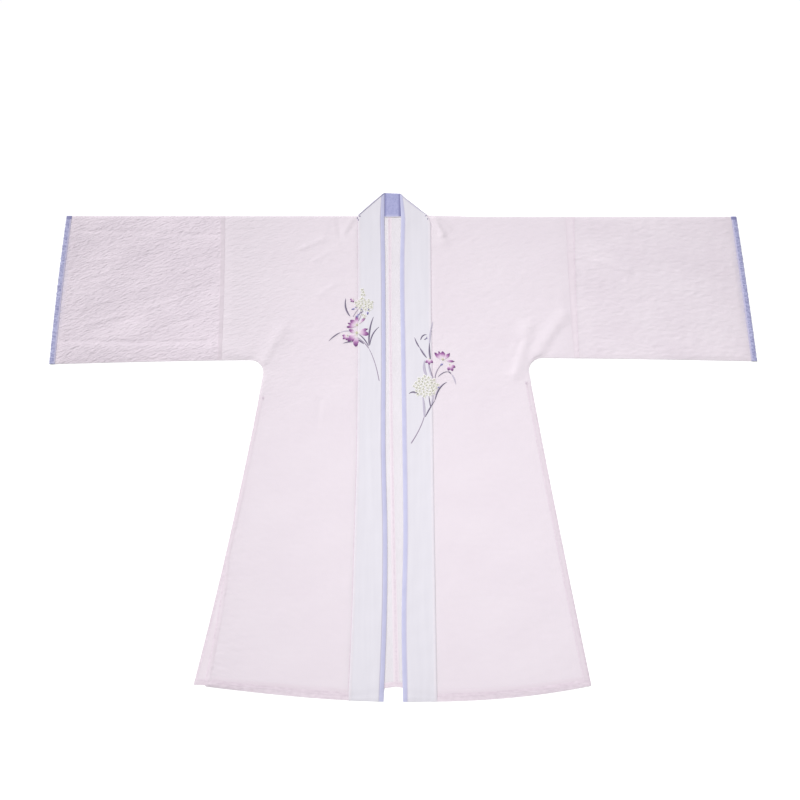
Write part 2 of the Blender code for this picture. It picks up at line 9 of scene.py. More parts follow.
import math
from collections import namedtuple

import bmesh
import bpy
import numpy as np
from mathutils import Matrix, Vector, noise
from mathutils.bvhtree import BVHTree


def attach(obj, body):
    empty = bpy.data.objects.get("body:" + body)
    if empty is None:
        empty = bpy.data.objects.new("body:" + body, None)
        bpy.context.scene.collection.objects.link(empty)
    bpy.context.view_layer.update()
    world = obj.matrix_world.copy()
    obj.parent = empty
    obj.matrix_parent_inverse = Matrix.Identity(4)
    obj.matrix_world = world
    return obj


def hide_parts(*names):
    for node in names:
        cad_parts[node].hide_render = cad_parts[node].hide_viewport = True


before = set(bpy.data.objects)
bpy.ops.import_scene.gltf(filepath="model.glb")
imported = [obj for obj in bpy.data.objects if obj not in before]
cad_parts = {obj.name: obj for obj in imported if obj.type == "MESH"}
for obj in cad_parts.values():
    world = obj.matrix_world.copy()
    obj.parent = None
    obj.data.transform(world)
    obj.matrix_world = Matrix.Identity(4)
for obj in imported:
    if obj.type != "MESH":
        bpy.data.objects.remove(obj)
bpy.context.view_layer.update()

BODY = "root"


def table(row, *values):
    """Rows of a table, with the columns of a named tuple."""
    return [row(*value) for value in values]


# Cloth, thinner than the solids' walls and in the room that they hold
GAP = 0.0001
CLOTH = 0.0004  # one layer of sheer cloth
HEM_CLOTH = 0.00048  # a turned hem
SLIT_CLOTH = 0.00042  # the slit's hem, pressed flat
ALLOWANCE_CLOTH = 0.0005  # cloth with a seam allowance pressed on it
TRIM_CLOTH = 0.0008  # the cuff trim
LINING_CLOTH = 0.0004
HEM_WIDTH = 0.010
FOLD_BULGE = 0.00115  # how far a rounded fold stands out past its edge in the plan
FOLD_STEPS = 6
FRONT_FLOOR = 0.0008  # underside of the front layer where it lies on the back
LEAST_RELIEF = -0.0002  # how far a trough may sink into that room
SMOOTH_DEG = 50  # edges sharper than this stay sharp
STRIP_SMOOTH_DEG = 40

# Body
CENTRE_X = -0.0141
CHEST_HALF = 0.2831
ARMPIT_RADIUS = 0.030
ARMPIT_CORNER_DEG = 45
UNDERARM_POWER = 1.5
HEM_Y = -0.5442
CENTRE_BACK_TOP_X = -0.0314
CENTRE_BACK_HEM_X = -0.0112
NECK_DIP = 0.0045
NECK_RISE_RUN = 0.110
NECK_CUT_SHARE = 1 / 16  # of the height from the armpit to the neck
NECK_CUT_POWER = 1.4
FRONT_INSET_START_Y = -0.278
FRONT_INSET_POWER = 0.6
HEM_DROP_RUN = 0.008
LIFT_BLEND = 0.150

# Collar
EDGE_STRIP = 0.0083
TURNED_EDGE = 0.0012
EDGE_ROUND = 0.0002
BAND_HEIGHT = 0.0012
BAND_UNDERSIDE = 0.0005  # over the lining
STRIP_EDGE_HEIGHT = 0.0005  # the lilac strip thins towards its free edge
COLLAR_RISE_START_Y = 0.444
COLLAR_RISE_END_Y = 0.476
COLLAR_FOLD_ROOM = 0.0015
COLLAR_FOLD_BOWS = {"left": -0.0035, "right": 0.0012}  # how far the folds' middles stand out
COLLAR_FOLD_LINE = 0.945  # share of the way to the fold where its line of painted shade starts
NECK_EDGE_WIDTH = 0.0046
PIPE_WIDTH = 0.0050  # the collar's outer edge is padded by its seam's allowance
PIPE_HEIGHT = 0.0002
BAND_SEAM_LINES = (0.0018, 0.0004)  # lines of painted shade on the face, from its seam with the strip
BAND_RELIEF = 0.0004  # the band's face isn't quite flat
BAND_RELIEF_SIZE = 0.030
EDGE_RELIEF = 0.3  # share of the relief beside the band's edges
HEM_THIN_RUN = 0.008  # the band thins to its turned-up end
HEM_THIN_SHARE = 0.4

# Cuffs
CUFF_WIDTH = 0.012
CUFF_BACK_BOW = 0.008
CUFF_COLUMNS = 8
CUFF_PALE_COLUMNS = 2  # the trim's inner edge lies thin over the sleeve
CUFF_PAINTED_SHADE_ROWS = 3  # and its fold at the top is painted darker: painted shade
CUFF_LIFT = 0.0003
CUFF_EDGE_SHARE = 0.04  # the trim is thinnest this far in from its edges
PUCKER_SPACING = 0.006  # small gathers across the cuff trim
PUCKER_HEIGHT = 0.0012
PUCKER_REACH = 0.0009
PUCKER_FADE = 0.006

# Lines of the mesh across a hem and beside a seam, from the edge inwards; the last is past the step
HEM_LINES = np.array((0.0, 0.0025, 0.0050, 0.0075, 0.0095, 0.0115))
CENTRE_SEAM_LINES = np.array((0.0, 0.5, 1.0))  # shares of the allowance's width
SLEEVE_SEAM_LINES = np.array((0.0, 0.3, 0.6, 0.85, 0.95, 1.0))
SEAM_STEP = 0.0008
COLLAR_SEAM_LINE = 0.0022

# Widths of the seam allowances seen through the cloth: at the hem or underarm, midway, and at
# the top
CENTRE_ALLOWANCES = {"left": (0.0052, 0.0008, 0.0060), "right": (0.0052, 0.0050, 0.0006)}
SLEEVE_ALLOWANCES = {"left": (0.0100, 0.0150, 0.0200), "right": (0.0090, 0.0100, 0.0110)}

# Mesh spacing, and the widths that its columns are shared out over
BODY_ROW_STEP = 0.0032
BODY_COLUMN_STEP = 0.0062
TORSO_WIDTH = 0.260
BACK_WIDTH = 0.065
ARM_WIDTH = 0.055
SLEEVE_ROW_STEP = 0.0023
SLEEVE_COLUMN_STEP = 0.0042
CUFF_ROW_STEP = 0.0018
COLLAR_STEP = 0.0060
COLLAR_TOP_STEPS = 8
NECK_STATIONS = 24
BAND_FACE_STEPS = 14
PIPE_STEPS = 4
LINING_FACE_STEPS = 6
STRIP_FACE_STEPS = 6
ARMPIT_STEPS = 4
BODY_FADE_STEPS = 2  # over these the relief dies away towards a border
BACK_FADE_STEPS = 2
SLEEVE_FADE_STEPS = 3

Side = namedtuple(
    "Side",
    "name sign shoulder_y neck_rise neck_cut underarm_y underarm_droop slit_top_y flare bow"
    " hem_half hem_rise hem_power front_inset seam_low seam_mid seam_top cuff_low cuff_mid cuff_top"
    " fold_tip_x fold_tip_y",
)
LEFT = Side(
    name="left", sign=1, shoulder_y=0.483, neck_rise=0.0035, neck_cut=0.0089,
    underarm_y=0.1492, underarm_droop=0.007, slit_top_y=0.0915, flare=0.138, bow=0.017,
    hem_half=0.3776, hem_rise=0.0298, hem_power=2.6, front_inset=0.002,
    seam_low=0.3689, seam_mid=0.3667, seam_top=0.3682,
    cuff_low=0.76, cuff_mid=0.7578, cuff_top=0.7537, fold_tip_x=-0.0057, fold_tip_y=0.5415,
)
RIGHT = Side(
    name="right", sign=-1, shoulder_y=0.4845, neck_rise=0.0, neck_cut=0.0,
    underarm_y=0.1447, underarm_droop=0.009, slit_top_y=0.0585, flare=0.132, bow=0.06,
    hem_half=0.3883, hem_rise=0.031, hem_power=1.65, front_inset=0.0227,
    seam_low=0.3887, seam_mid=0.393, seam_top=0.4009,
    cuff_low=0.757, cuff_mid=0.7598, cuff_top=0.7586, fold_tip_x=-0.041, fold_tip_y=0.5431,
)
SIDES = (LEFT, RIGHT)

HemLift = namedtuple("HemLift", "across lift")
BACK_HEM_LIFTS = table(
    HemLift,
    (0, 0.0275),
    (0.2, 0.017),
    (0.4, 0.0118),
    (0.7, 0.0095),
    (1, 0),
)

BandSection = namedtuple("BandSection", "y right_outer right_inner left_inner left_outer")
BAND_SECTIONS = table(
    BandSection,
    (-0.5442, -0.1044, -0.0372, -0.0001, 0.0655),
    (-0.3895, -0.1001, -0.0322, -0.0024, 0.0646),
    (-0.2345, -0.0976, -0.0315, 0.001, 0.0638),
    (-0.0505, -0.0952, -0.036, -0.0005, 0.0633),
    (0.1465, -0.0965, -0.0367, -0.003, 0.0628),
    (0.3515, -0.098, -0.0385, -0.0055, 0.0629),
    (0.4835, -0.1006, -0.0413, -0.003, 0.0635),
)

# Kinds of sheer cloth, and those of the slit's hem from its inner line out to the edge
SHEER, HEM, ALLOWANCE, LINE, BACK = range(5)
SLIT_KINDS = {
    ("left", "back"): (HEM, HEM, HEM, HEM, HEM),
    ("left", "front"): (LINE, ALLOWANCE, ALLOWANCE, ALLOWANCE, HEM),
    ("right", "back"): (ALLOWANCE, ALLOWANCE, ALLOWANCE, HEM, HEM),
    ("right", "front"): (SHEER, ALLOWANCE, ALLOWANCE, ALLOWANCE, HEM),
}
FACE, EDGE, SHADE = range(3)  # kinds of cloth across the collar, given again for the neck; the edge and shade kinds carry painted light and shade
COLLAR_KINDS = 3
CUFF_EDGE, CUFF_PAINTED_SHADE = 1, 2  # the cuff's face is 0

# Creases: a ridge, or a trough where the height is negative, along a line. The main
# folds run on through the seams.
Crease = namedtuple("Crease", "x0 y0 x1 y1 height half_width")
MAIN_FOLDS = table(
    Crease,
    (-0.734, 0.168, -0.4, 0.172, 0.0018, 0.018),
    (-0.4, 0.172, -0.337, 0.162, 0.0014, 0.018),
    (-0.292, 0.142, -0.262, 0.212, 0.0026, 0.015),
    (0.29, 0.16, 0.35, 0.246, 0.0024, 0.015),
    (0.24, 0.112, 0.271, 0.217, 0.0024, 0.015),
    (0.075, 0.47, 0.092, 0.425, 0.0018, 0.014),
)
CREASES = {
    "body": table(
        Crease,
        (0.064, 0.474, 0.078, 0.44, -0.002, 0.0045),
        (0.07, 0.478, 0.091, 0.436, 0.003, 0.005),
        (0.077, 0.48, 0.106, 0.454, 0.0018, 0.005),
        (-0.104, 0.476, -0.116, 0.448, -0.001, 0.005),
        (-0.112, 0.478, -0.132, 0.44, 0.0011, 0.006),
        (-0.227, 0.404, -0.177, 0.428, 0.0013, 0.005),
        (-0.145, 0.476, -0.14, 0.433, -0.0012, 0.005),
        (-0.2, 0.373, -0.165, 0.397, 0.0009, 0.0045),
        (-0.184, 0.292, -0.15, 0.318, 0.0009, 0.005),
        (-0.176, 0.055, -0.178, 0.004, -0.0014, 0.005),
        (-0.3, 0.11, -0.268, 0.175, -0.0012, 0.006),
        (0.29, 0.13, 0.345, 0.215, -0.0012, 0.006),
        (0.23, 0.12, 0.255, 0.19, -0.0012, 0.006),
    ),
    "sleeve_left": table(
        Crease,
        (0.43, 0.375, 0.5, 0.35, 0.0016, 0.006),
    ),
    "sleeve_right": table(
        Crease,
        (-0.735, 0.186, -0.56, 0.184, -0.0016, 0.005),
        (-0.6, 0.181, -0.42, 0.186, -0.0012, 0.005),
        (-0.715, 0.448, -0.56, 0.444, -0.0012, 0.005),
        (-0.54, 0.44, -0.4, 0.438, -0.001, 0.005),
        (-0.7, 0.262, -0.64, 0.281, 0.001, 0.004),
        (-0.69, 0.222, -0.61, 0.247, 0.0011, 0.004),
        (-0.63, 0.225, -0.56, 0.25, -0.0009, 0.004),
        (-0.6, 0.301, -0.54, 0.318, 0.001, 0.004),
        (-0.56, 0.262, -0.49, 0.284, 0.001, 0.004),
        (-0.52, 0.217, -0.455, 0.24, -0.0009, 0.004),
        (-0.69, 0.33, -0.63, 0.344, -0.0009, 0.004),
        (-0.7, 0.372, -0.64, 0.381, 0.0009, 0.004),
        (-0.61, 0.382, -0.54, 0.392, -0.0008, 0.004),
        (-0.5, 0.345, -0.43, 0.364, 0.0009, 0.004),
        (-0.48, 0.3, -0.415, 0.322, -0.0008, 0.004),
        (-0.66, 0.405, -0.58, 0.412, 0.0008, 0.004),
        (-0.52, 0.402, -0.45, 0.41, 0.0007, 0.004),
    ),
}

# Broad crinkles: ridges along a direction, a wavelength apart
Crinkle = namedtuple("Crinkle", "direction_deg wavelength height phase")
CRINKLES = {
    "body": table(Crinkle, (24, 0.093, 0.0002, 0.4), (-31, 0.151, 0.0003, 2.1)),
    "sleeve_left": table(Crinkle, (-5, 0.071, 0.0004, 0.9), (3, 0.118, 0.0004, 2.6)),
    "sleeve_right": table(Crinkle, (20, 0.064, 0.0004, 0.2), (14, 0.109, 0.0004, 1.7)),
}

# Fine crinkle of the cloth: noise stretched along a direction, in sharp-topped ridges
Grain = namedtuple("Grain", "direction_deg length spacing height seed")
GRAINS = {
    "body": table(
        Grain,
        (3, 0.03, 0.011, 0.00025, 11),
        (-38, 0.02, 0.014, 0.0003, 27),
        (60, 0.024, 0.015, 0.0002, 31),
    ),
    "sleeve_left": table(
        Grain,
        (-7, 0.03, 0.0085, 0.0006, 35),
        (24, 0.016, 0.011, 0.00045, 43),
    ),
    "sleeve_right": table(
        Grain,
        (22, 0.012, 0.0052, 0.0008, 51),
        (14, 0.018, 0.007, 0.00045, 66),
        (38, 0.011, 0.006, 0.00045, 72),
    ),
}
GRAIN_SHARPNESS = 2.2
SLEEVE_GRAIN_FADE = 0.120  # the right sleeve's crinkle dies away this far into the body
BODY_GRAIN_LOW = 0.4  # the body lies smoother below the waist
BODY_GRAIN_LOW_Y = -0.05
BODY_GRAIN_RUN = 0.25
BACK_GRAIN_SHARE = 0.25  # the back layer lies flatter than the front
PUCKER_SEED = 3.0
PUCKER_BACK_PLACE = 7.0  # where the back's puckers are read in the noise
BAND_SEED = 5.0

# How each cloth is cut, all round where it is folded double, in metres and square metres
Sheet = namedtuple("Sheet", "node width length area slot rests_on")
SHEETS = table(
    Sheet,
    ("body_left", 0.4, 2.062, 0.631, "sheer_cloth", ()),
    ("body_right", 0.392, 2.054, 0.609, "sheer_cloth", ()),
    ("sleeve_left", 0.381, 0.686, 0.255, "sheer_cloth", ()),
    ("sleeve_right", 0.359, 0.702, 0.245, "sheer_cloth", ()),
    ("cuff_left", 0.012, 0.686, None, "lilac_cloth", ("sleeve_left",)),
    ("cuff_right", 0.012, 0.702, None, "lilac_cloth", ("sleeve_right",)),
    ("collar_band", 0.057, 2.2, 0.122, "band_cloth", ("collar_lining",)),
    ("collar_lining", 0.066, 2.2, 0.139, "lilac_cloth", ("body_left", "body_right")),
)

# Embroidery: satin stitch raised on the cloth. A strand is a curve from a start to an end, drawn
# towards the point between them.
STEM, LEAF, PALE_LEAF, PETAL, FLORET, HEART, BUD = range(7)
STITCH_LIFTS = (0.00010, 0.00015, 0.00012, 0.00030, 0.00040, 0.00070, 0.00045)
STITCH_RISES = (0.00025, 0.00030, 0.00020, 0.00045, 0.00045, 0.00035, 0.00045)
STITCH_SINK = 0.0001
STITCH_SLANT = 0.6
DOME_RUN = 1.6  # how soon a patch reaches its full height from its narrow ends
PETAL_MESH = (10, 6)  # rows along and columns across
STRAND_MESH = (20, 4)
SMALL_MESH = (6, 4)
FLORET_MESH = (4, 4)
STEM_TAPER = 0.7
LEAF_TIP = 0.12  # share of a leaf's width left at its ends
LEAF_POWERS = (0.8, 0.7)
PETAL_POWERS = (1.35, 0.75)
PETAL_ENDS = (0.02, 0.985)
PETAL_WAVE = 0.10  # unevenness of a petal's sides
PETAL_WAVES = 19
PETAL_LEAST = 0.0001

Strand = namedtuple("Strand", "kind x0 y0 toward_x toward_y x1 y1 width")
STRANDS = {
    "right": table(
        Strand,
        (STEM, -0.05, 0.0955, -0.0575, 0.14, -0.0725, 0.169, 0.0021),
        (STEM, -0.0725, 0.169, -0.085, 0.188, -0.101, 0.196, 0.0024),
        (STEM, -0.0985, 0.228, -0.09, 0.243, -0.0865, 0.262, 0.0018),
        (STEM, -0.108, 0.242, -0.101, 0.256, -0.093, 0.265, 0.0016),
        (LEAF, -0.0722, 0.174, -0.0758, 0.212, -0.0628, 0.2434, 0.0046),
        (LEAF, -0.0705, 0.176, -0.07, 0.204, -0.05, 0.2195, 0.0036),
        (LEAF, -0.0731, 0.1735, -0.083, 0.195, -0.096, 0.202, 0.0032),
        (LEAF, -0.0835, 0.179, -0.093, 0.1895, -0.106, 0.1915, 0.004),
        (LEAF, -0.1056, 0.1927, -0.11, 0.194, -0.1175, 0.199, 0.0034),
        (LEAF, -0.108, 0.1845, -0.117, 0.185, -0.129, 0.181, 0.003),
        (PALE_LEAF, -0.102, 0.206, -0.12, 0.2135, -0.137, 0.205, 0.0024),
        (LEAF, -0.135, 0.2058, -0.147, 0.2, -0.16, 0.186, 0.003),
        (LEAF, -0.114, 0.243, -0.129, 0.26, -0.1245, 0.286, 0.0042),
        (PALE_LEAF, -0.096, 0.231, -0.0985, 0.248, -0.089, 0.256, 0.003),
        (LEAF, -0.095, 0.248, -0.0905, 0.2535, -0.085, 0.2545, 0.0024),
    ),
    "left": table(
        Strand,
        (STEM, 0.0168, -0.0395, 0.037, -0.01, 0.0455, 0.019, 0.0028),
        (PALE_LEAF, 0.0455, 0.016, 0.0465, 0.042, 0.042, 0.064, 0.0058),
        (LEAF, 0.059, 0.037, 0.057, 0.05, 0.055, 0.065, 0.003),
        (PALE_LEAF, 0.06, 0.039, 0.064, 0.056, 0.066, 0.07, 0.004),
        (LEAF, 0.047, 0.017, 0.054, 0.033, 0.0695, 0.056, 0.0036),
        (LEAF, 0.068, 0.053, 0.074, 0.085, 0.0945, 0.094, 0.0042),
        (STEM, 0.069, 0.103, 0.07, 0.118, 0.081, 0.131, 0.0028),
        (STEM, 0.065, 0.103, 0.059, 0.12, 0.056, 0.137, 0.0026),
        (PALE_LEAF, 0.062, 0.106, 0.056, 0.123, 0.0545, 0.138, 0.0038),
        (PALE_LEAF, 0.0515, 0.1084, 0.043, 0.123, 0.0474, 0.144, 0.0068),
        (LEAF, 0.06, 0.143, 0.056, 0.16, 0.058, 0.185, 0.0046),
        (PALE_LEAF, 0.0575, 0.175, 0.059, 0.205, 0.066, 0.232, 0.005),
        (LEAF, 0.052, 0.1479, 0.042, 0.159, 0.0355, 0.174, 0.0036),
        (LEAF, 0.0365, 0.1715, 0.03, 0.18, 0.0255, 0.195, 0.0034),
        (PALE_LEAF, 0.038, 0.17, 0.043, 0.164, 0.05, 0.152, 0.0024),
        (LEAF, 0.0385, 0.188, 0.042, 0.203, 0.0525, 0.2005, 0.0036),
        (LEAF, 0.046, 0.19, 0.051, 0.19, 0.053, 0.197, 0.0028),
        (LEAF, 0.0749, 0.1049, 0.087, 0.119, 0.0983, 0.1168, 0.0024),
        (LEAF, 0.0965, 0.1172, 0.101, 0.117, 0.104, 0.111, 0.003),
        (PALE_LEAF, 0.1045, 0.1115, 0.111, 0.102, 0.1131, 0.0881, 0.0034),
        (LEAF, 0.033, 0.067, 0.022, 0.076, 0.013, 0.068, 0.004),
    ),
}

# A petal's lengths are shares of its flower's size. The bend is to the side.
Blossom = namedtuple("Blossom", "x y turn_deg size form")
Petal = namedtuple("Petal", "turn_deg start reach width bend")
BLOSSOM_FORMS = {
    "open": table(
        Petal,
        (205, 0, 1, 0.42, 0.14),
        (-8, 0, 1, 0.4, -0.2),
        (15, 0.1, 0.95, 0.26, -0.08),
        (150, 0.05, 0.7, 0.3, -0.1),
        (252, 0.1, 1.15, 0.48, 0.05),
        (228, 0.2, 0.8, 0.28, 0.05),
    ),
    "side": table(
        Petal,
        (150, 0, 1, 0.34, -0.2),
        (122, 0.1, 0.9, 0.26, -0.1),
        (35, 0, 0.9, 0.34, 0.18),
        (92, 0, 0.82, 0.48, 0),
        (-12, 0.1, 1.1, 0.24, 0.1),
    ),
    "bell": table(
        Petal,
        (62, 0, 0.85, 0.46, -0.2),
        (118, 0, 0.85, 0.46, 0.2),
        (90, 0, 1, 0.46, 0),
    ),
}
BLOSSOM_HEART = Petal(90, -0.10, 0.16, 0.20, 0)
BLOSSOMS = {
    "right": table(
        Blossom,
        (-0.0985, 0.223, 52, 0.0235, "side"),
        (-0.099, 0.2045, 12, 0.0275, "open"),
        (-0.1075, 0.2835, 135, 0.009, "bell"),
        (-0.1195, 0.199, 130, 0.013, "bell"),
    ),
    "left": table(
        Blossom,
        (0.086, 0.144, -2, 0.0235, "side"),
        (0.0572, 0.1465, 178, 0.0145, "bell"),
        (0.1005, 0.133, 205, 0.016, "bell"),
    ),
}

Cluster = namedtuple("Cluster", "x y half_width half_height florets turn")
CLUSTERS = {
    "right": table(
        Cluster,
        (-0.0835, 0.2705, 0.02, 0.015, 24, 0.3),
        (-0.087, 0.296, 0.005, 0.012, 5, 1.1),
        (-0.0845, 0.244, 0.005, 0.005, 3, 0),
    ),
    "left": table(Cluster, (0.0485, 0.0845, 0.026, 0.023, 40, 0.8)),
}
FLORET_SIZE = 0.0058
FLORET_UNEVEN = 0.18
FLORET_PETALS = 4
FLORET_PETAL = (0.08, 0.78, 0.56, 0)
FLORET_TURN_DEG = 47.0
CLUSTER_TURN_DEG = 137.5  # from one floret to the next, so that they spread evenly
HEART_SIZE = 0.0014
FLORET_HEART = Petal(0, -1, 1, 1.8, 0)

Bud = namedtuple("Bud", "x y turn_deg length")
BUDS = {
    "right": table(
        Bud,
        (-0.108, 0.26, 15, 0.0085),
        (-0.0995, 0.2425, 55, 0.009),
        (-0.096, 0.247, 20, 0.0065),
        (-0.076, 0.2505, 80, 0.0085),
        (-0.074, 0.259, 100, 0.0065),
        (-0.0895, 0.259, 95, 0.006),
        (-0.102, 0.264, 160, 0.005),
    ),
    "left": table(
        Bud,
        (0.0834, 0.1329, 35, 0.0085),
        (0.076, 0.082, 10, 0.006),
        (0.052, 0.1925, 150, 0.0045),
    ),
}
BUD_WIDTH = 0.5
BUD_BEND = 0.05

# Running stitches, a dark thread line along each collar fold that paints its shade, and the knots
# at the collar's corners
HEM_THREAD, BAND_THREAD, CUFF_THREAD, KNOT_AND_FOLD_SHADE = range(4)
STITCH_PITCH = 0.0034
STITCH_LENGTH = 0.0024
STITCH_WIDTH = 0.0007
STITCH_HEIGHT = 0.00018
PATH_STEPS = 200
# Where the stitches start and end, in shares of each line
SLIT_STITCHES = (0.02, 1)
HEM_STITCHES = (0, 0.97)
BAND_HEM_STITCHES = (0.16, 1)
BAND_STITCHES = (0, 0.98)
SLEEVE_STITCHES = (0.01, 0.99)
CUFF_STITCHES = (0.02, 0.98)
HEM_STITCH_INSET = 0.0085
BAND_STITCH_INSET = 0.0020
STRIP_STITCH_INSET = 0.0010
SLEEVE_STITCH_INSET = 0.0015
CUFF_STITCH_INSET = 0.0035
SLIT_BAR_TURN_DEG = 90
SLIT_BAR_LENGTH = 0.0080
SLIT_BAR_WIDTH = 0.2  # widths of bars are shares of their lengths
SLIT_BAR_STEPS = (0.0, 0.0022)
# A dark line along the collar's fold: painted shade
FOLD_SHADE_LINE_INSET = 0.0009
FOLD_SHADE_LINE_WIDTH = 0.0010
FOLD_SHADE_LINE_START = 0.0020
KNOT_WIDTH = 0.5
KNOT_BEND = 0.1
Knot = namedtuple("Knot", "shift_x shift_y turn_deg length")
KNOTS = {
    "right": table(
        Knot,
        (0.0035, -0.0020, 20, 0.0060),
        (-0.0015, -0.0060, 70, 0.0055),
        (0.0010, -0.0110, 110, 0.0050),
    ),
    "left": table(Knot, (0.0020, -0.0030, 30, 0.0050), (-0.0020, -0.0110, 75, 0.0045)),
}

# Sheer cloths: two near colours in soft patches, and crepe along a direction. The body's crepe
# fades from full to a share along each axis. Colours are in linear light.
Fade = namedtuple("Fade", "axis full faded share")
FADES = table(Fade, ("X", -0.37, -0.14, 0.25), ("Y", 0.20, -0.10, 0.10))
SOFT = (0.12, 0.08, 0.10)
PUCKERED = (0.011, 0.0045, 0.011)
SheerCloth = namedtuple(
    "SheerCloth",
    "name colour other alpha patch direction_deg length spacing height fades",
    defaults=(0, 0.0035, 0.0018, 0.0002, ()),
)
SHEER_CLOTHS = table(
    SheerCloth,
    ("sheer_body", (0.835, 0.77, 0.825), (0.822, 0.754, 0.812),
     0.5, SOFT, 17, 0.011, 0.0038, 0.002, FADES),
    ("sheer_sleeve_left", (0.84, 0.775, 0.83), (0.805, 0.735, 0.795),
     0.5, SOFT, -6, 0.009, 0.0035, 0.0007),
    # The right sleeve's copy of the sheer cloth is lighter than the body's to offset the shade of
    # its deeper crinkles, and its darker patches stand in for their broad shade: painted light and
    # shade
    ("sheer_sleeve_right", (0.9, 0.817, 0.886), (0.822, 0.741, 0.812),
     0.5, SOFT, 24, 0.01, 0.0036, 0.0036),
    ("sheer_hem", (0.8, 0.71, 0.78), (0.7, 0.61, 0.68), 0.6, PUCKERED),
    ("sheer_allowance", (0.805, 0.73, 0.79), (0.78, 0.7, 0.76), 0.55, SOFT),
    # The seams' and hems' own darker lines; beside the collar's seam the line is also painted shade
    # of the seam's ditch
    ("seam_line", (0.79, 0.7, 0.77), (0.7, 0.605, 0.68), 0.62, PUCKERED),
    ("sheer_back", (0.76, 0.725, 0.77), (0.73, 0.695, 0.74), 0.5, SOFT),
)
# Cloths in the order of their kinds
HEM_CLOTHS = ("sheer_hem", "sheer_allowance", "seam_line", "sheer_back")

# Opaque cloths and threads, with slubs of a length and spacing. On the cuff the dark slubs are
# painted shade of its small gathers
WovenCloth = namedtuple("WovenCloth", "name colour other roughness slub_length slub_spacing")
WOVEN_CLOTHS = table(
    WovenCloth,
    # The cuff's dark other colour paints the shade between its small gathers
    ("lilac_cuff", (0.415, 0.42, 0.605), (0.192, 0.19, 0.35), 0.6, 0.006, 0.0032),
    ("lilac_cuff_edge", (0.47, 0.44, 0.57), (0.37, 0.35, 0.5), 0.6, 0.004, 0.0032),
    # Painted shade at the cuff's fold at the top
    ("lilac_cuff_end", (0.192, 0.19, 0.35), (0.192, 0.19, 0.35), 0.6, 0.004, 0.0032),
    ("band_cloth", (0.588, 0.57, 0.62), (0.566, 0.548, 0.598), 0.7, 0.009, 0.14),
    # The band's edge cloth is lighter than its face: a painted highlight on the padded edge
    ("band_edge", (0.61, 0.575, 0.62), (0.58, 0.55, 0.6), 0.7, 0.01, 0.01),
    # The band's shade cloth is painted shade, beside the strip's seam and along the folds
    ("band_shade", (0.5, 0.475, 0.56), (0.47, 0.445, 0.54), 0.7, 0.01, 0.01),
    ("lilac_strip", (0.435, 0.435, 0.595), (0.405, 0.405, 0.56), 0.6, 0.015, 0.025),
    # Painted light: the strip's rolled edges are a lighter copy of its lilac, easing the shade they
    # cast
    ("lilac_strip_shade", (0.455, 0.45, 0.605), (0.425, 0.42, 0.575), 0.6, 0.015, 0.025),
    # The neck's lilac is the strip's cloth painted darker for the shade inside the neck, and its
    # bottom edge a little less dark: painted shade
    ("lilac_neck", (0.34, 0.345, 0.55), (0.265, 0.272, 0.465), 0.6, 0.004, 0.004),
    ("lilac_neck_edge", (0.385, 0.385, 0.57), (0.355, 0.355, 0.54), 0.6, 0.01, 0.004),
    ("hem_thread", (0.5, 0.42, 0.49), (0.42, 0.35, 0.42), 0.5, 0.002, 0.002),
    ("band_thread", (0.48, 0.46, 0.54), (0.43, 0.41, 0.5), 0.5, 0.002, 0.002),
    ("cuff_thread", (0.45, 0.46, 0.66), (0.38, 0.38, 0.58), 0.5, 0.002, 0.002),
    # Dark thread of the knots, also used for the painted shade line along the collar's folds
    ("knot_thread", (0.24, 0.22, 0.33), (0.18, 0.16, 0.27), 0.5, 0.002, 0.002),
)
CUFF_CLOTHS = ("lilac_cuff", "lilac_cuff_edge", "lilac_cuff_end")
BAND_CLOTHS = ("band_cloth", "band_edge", "band_shade")
LINING_CLOTHS = ("lilac_strip", "lilac_neck", "lilac_strip_shade")
# On the neck the face and shade kinds take the painted-shade lilac, and the edge the lighter one
NECK_CLOTHS = ("lilac_neck", "lilac_neck_edge", "lilac_neck")
SEAM_THREADS = ("hem_thread", "band_thread", "cuff_thread", "knot_thread")
# Painted shade on the neck lining towards the collar's folds, and how far in it reaches
NECK_PAINTED_SHADE = (0.16, 0.16, 0.32)
NECK_PAINTED_SHADE_RUN = 0.0055
SHEER_ROUGHNESS = 0.75
SPECULAR = 0.2
CLOTH_SHEEN = 0.1
WEAVE_SIZE = (0.0032, 0.0013, 0.0032)
WEAVE_HEIGHT = 0.0003
WEAVE_STRENGTH = 0.5
PATCH_ENDS = (0.3, 0.7)  # values of the noise that give the two colours

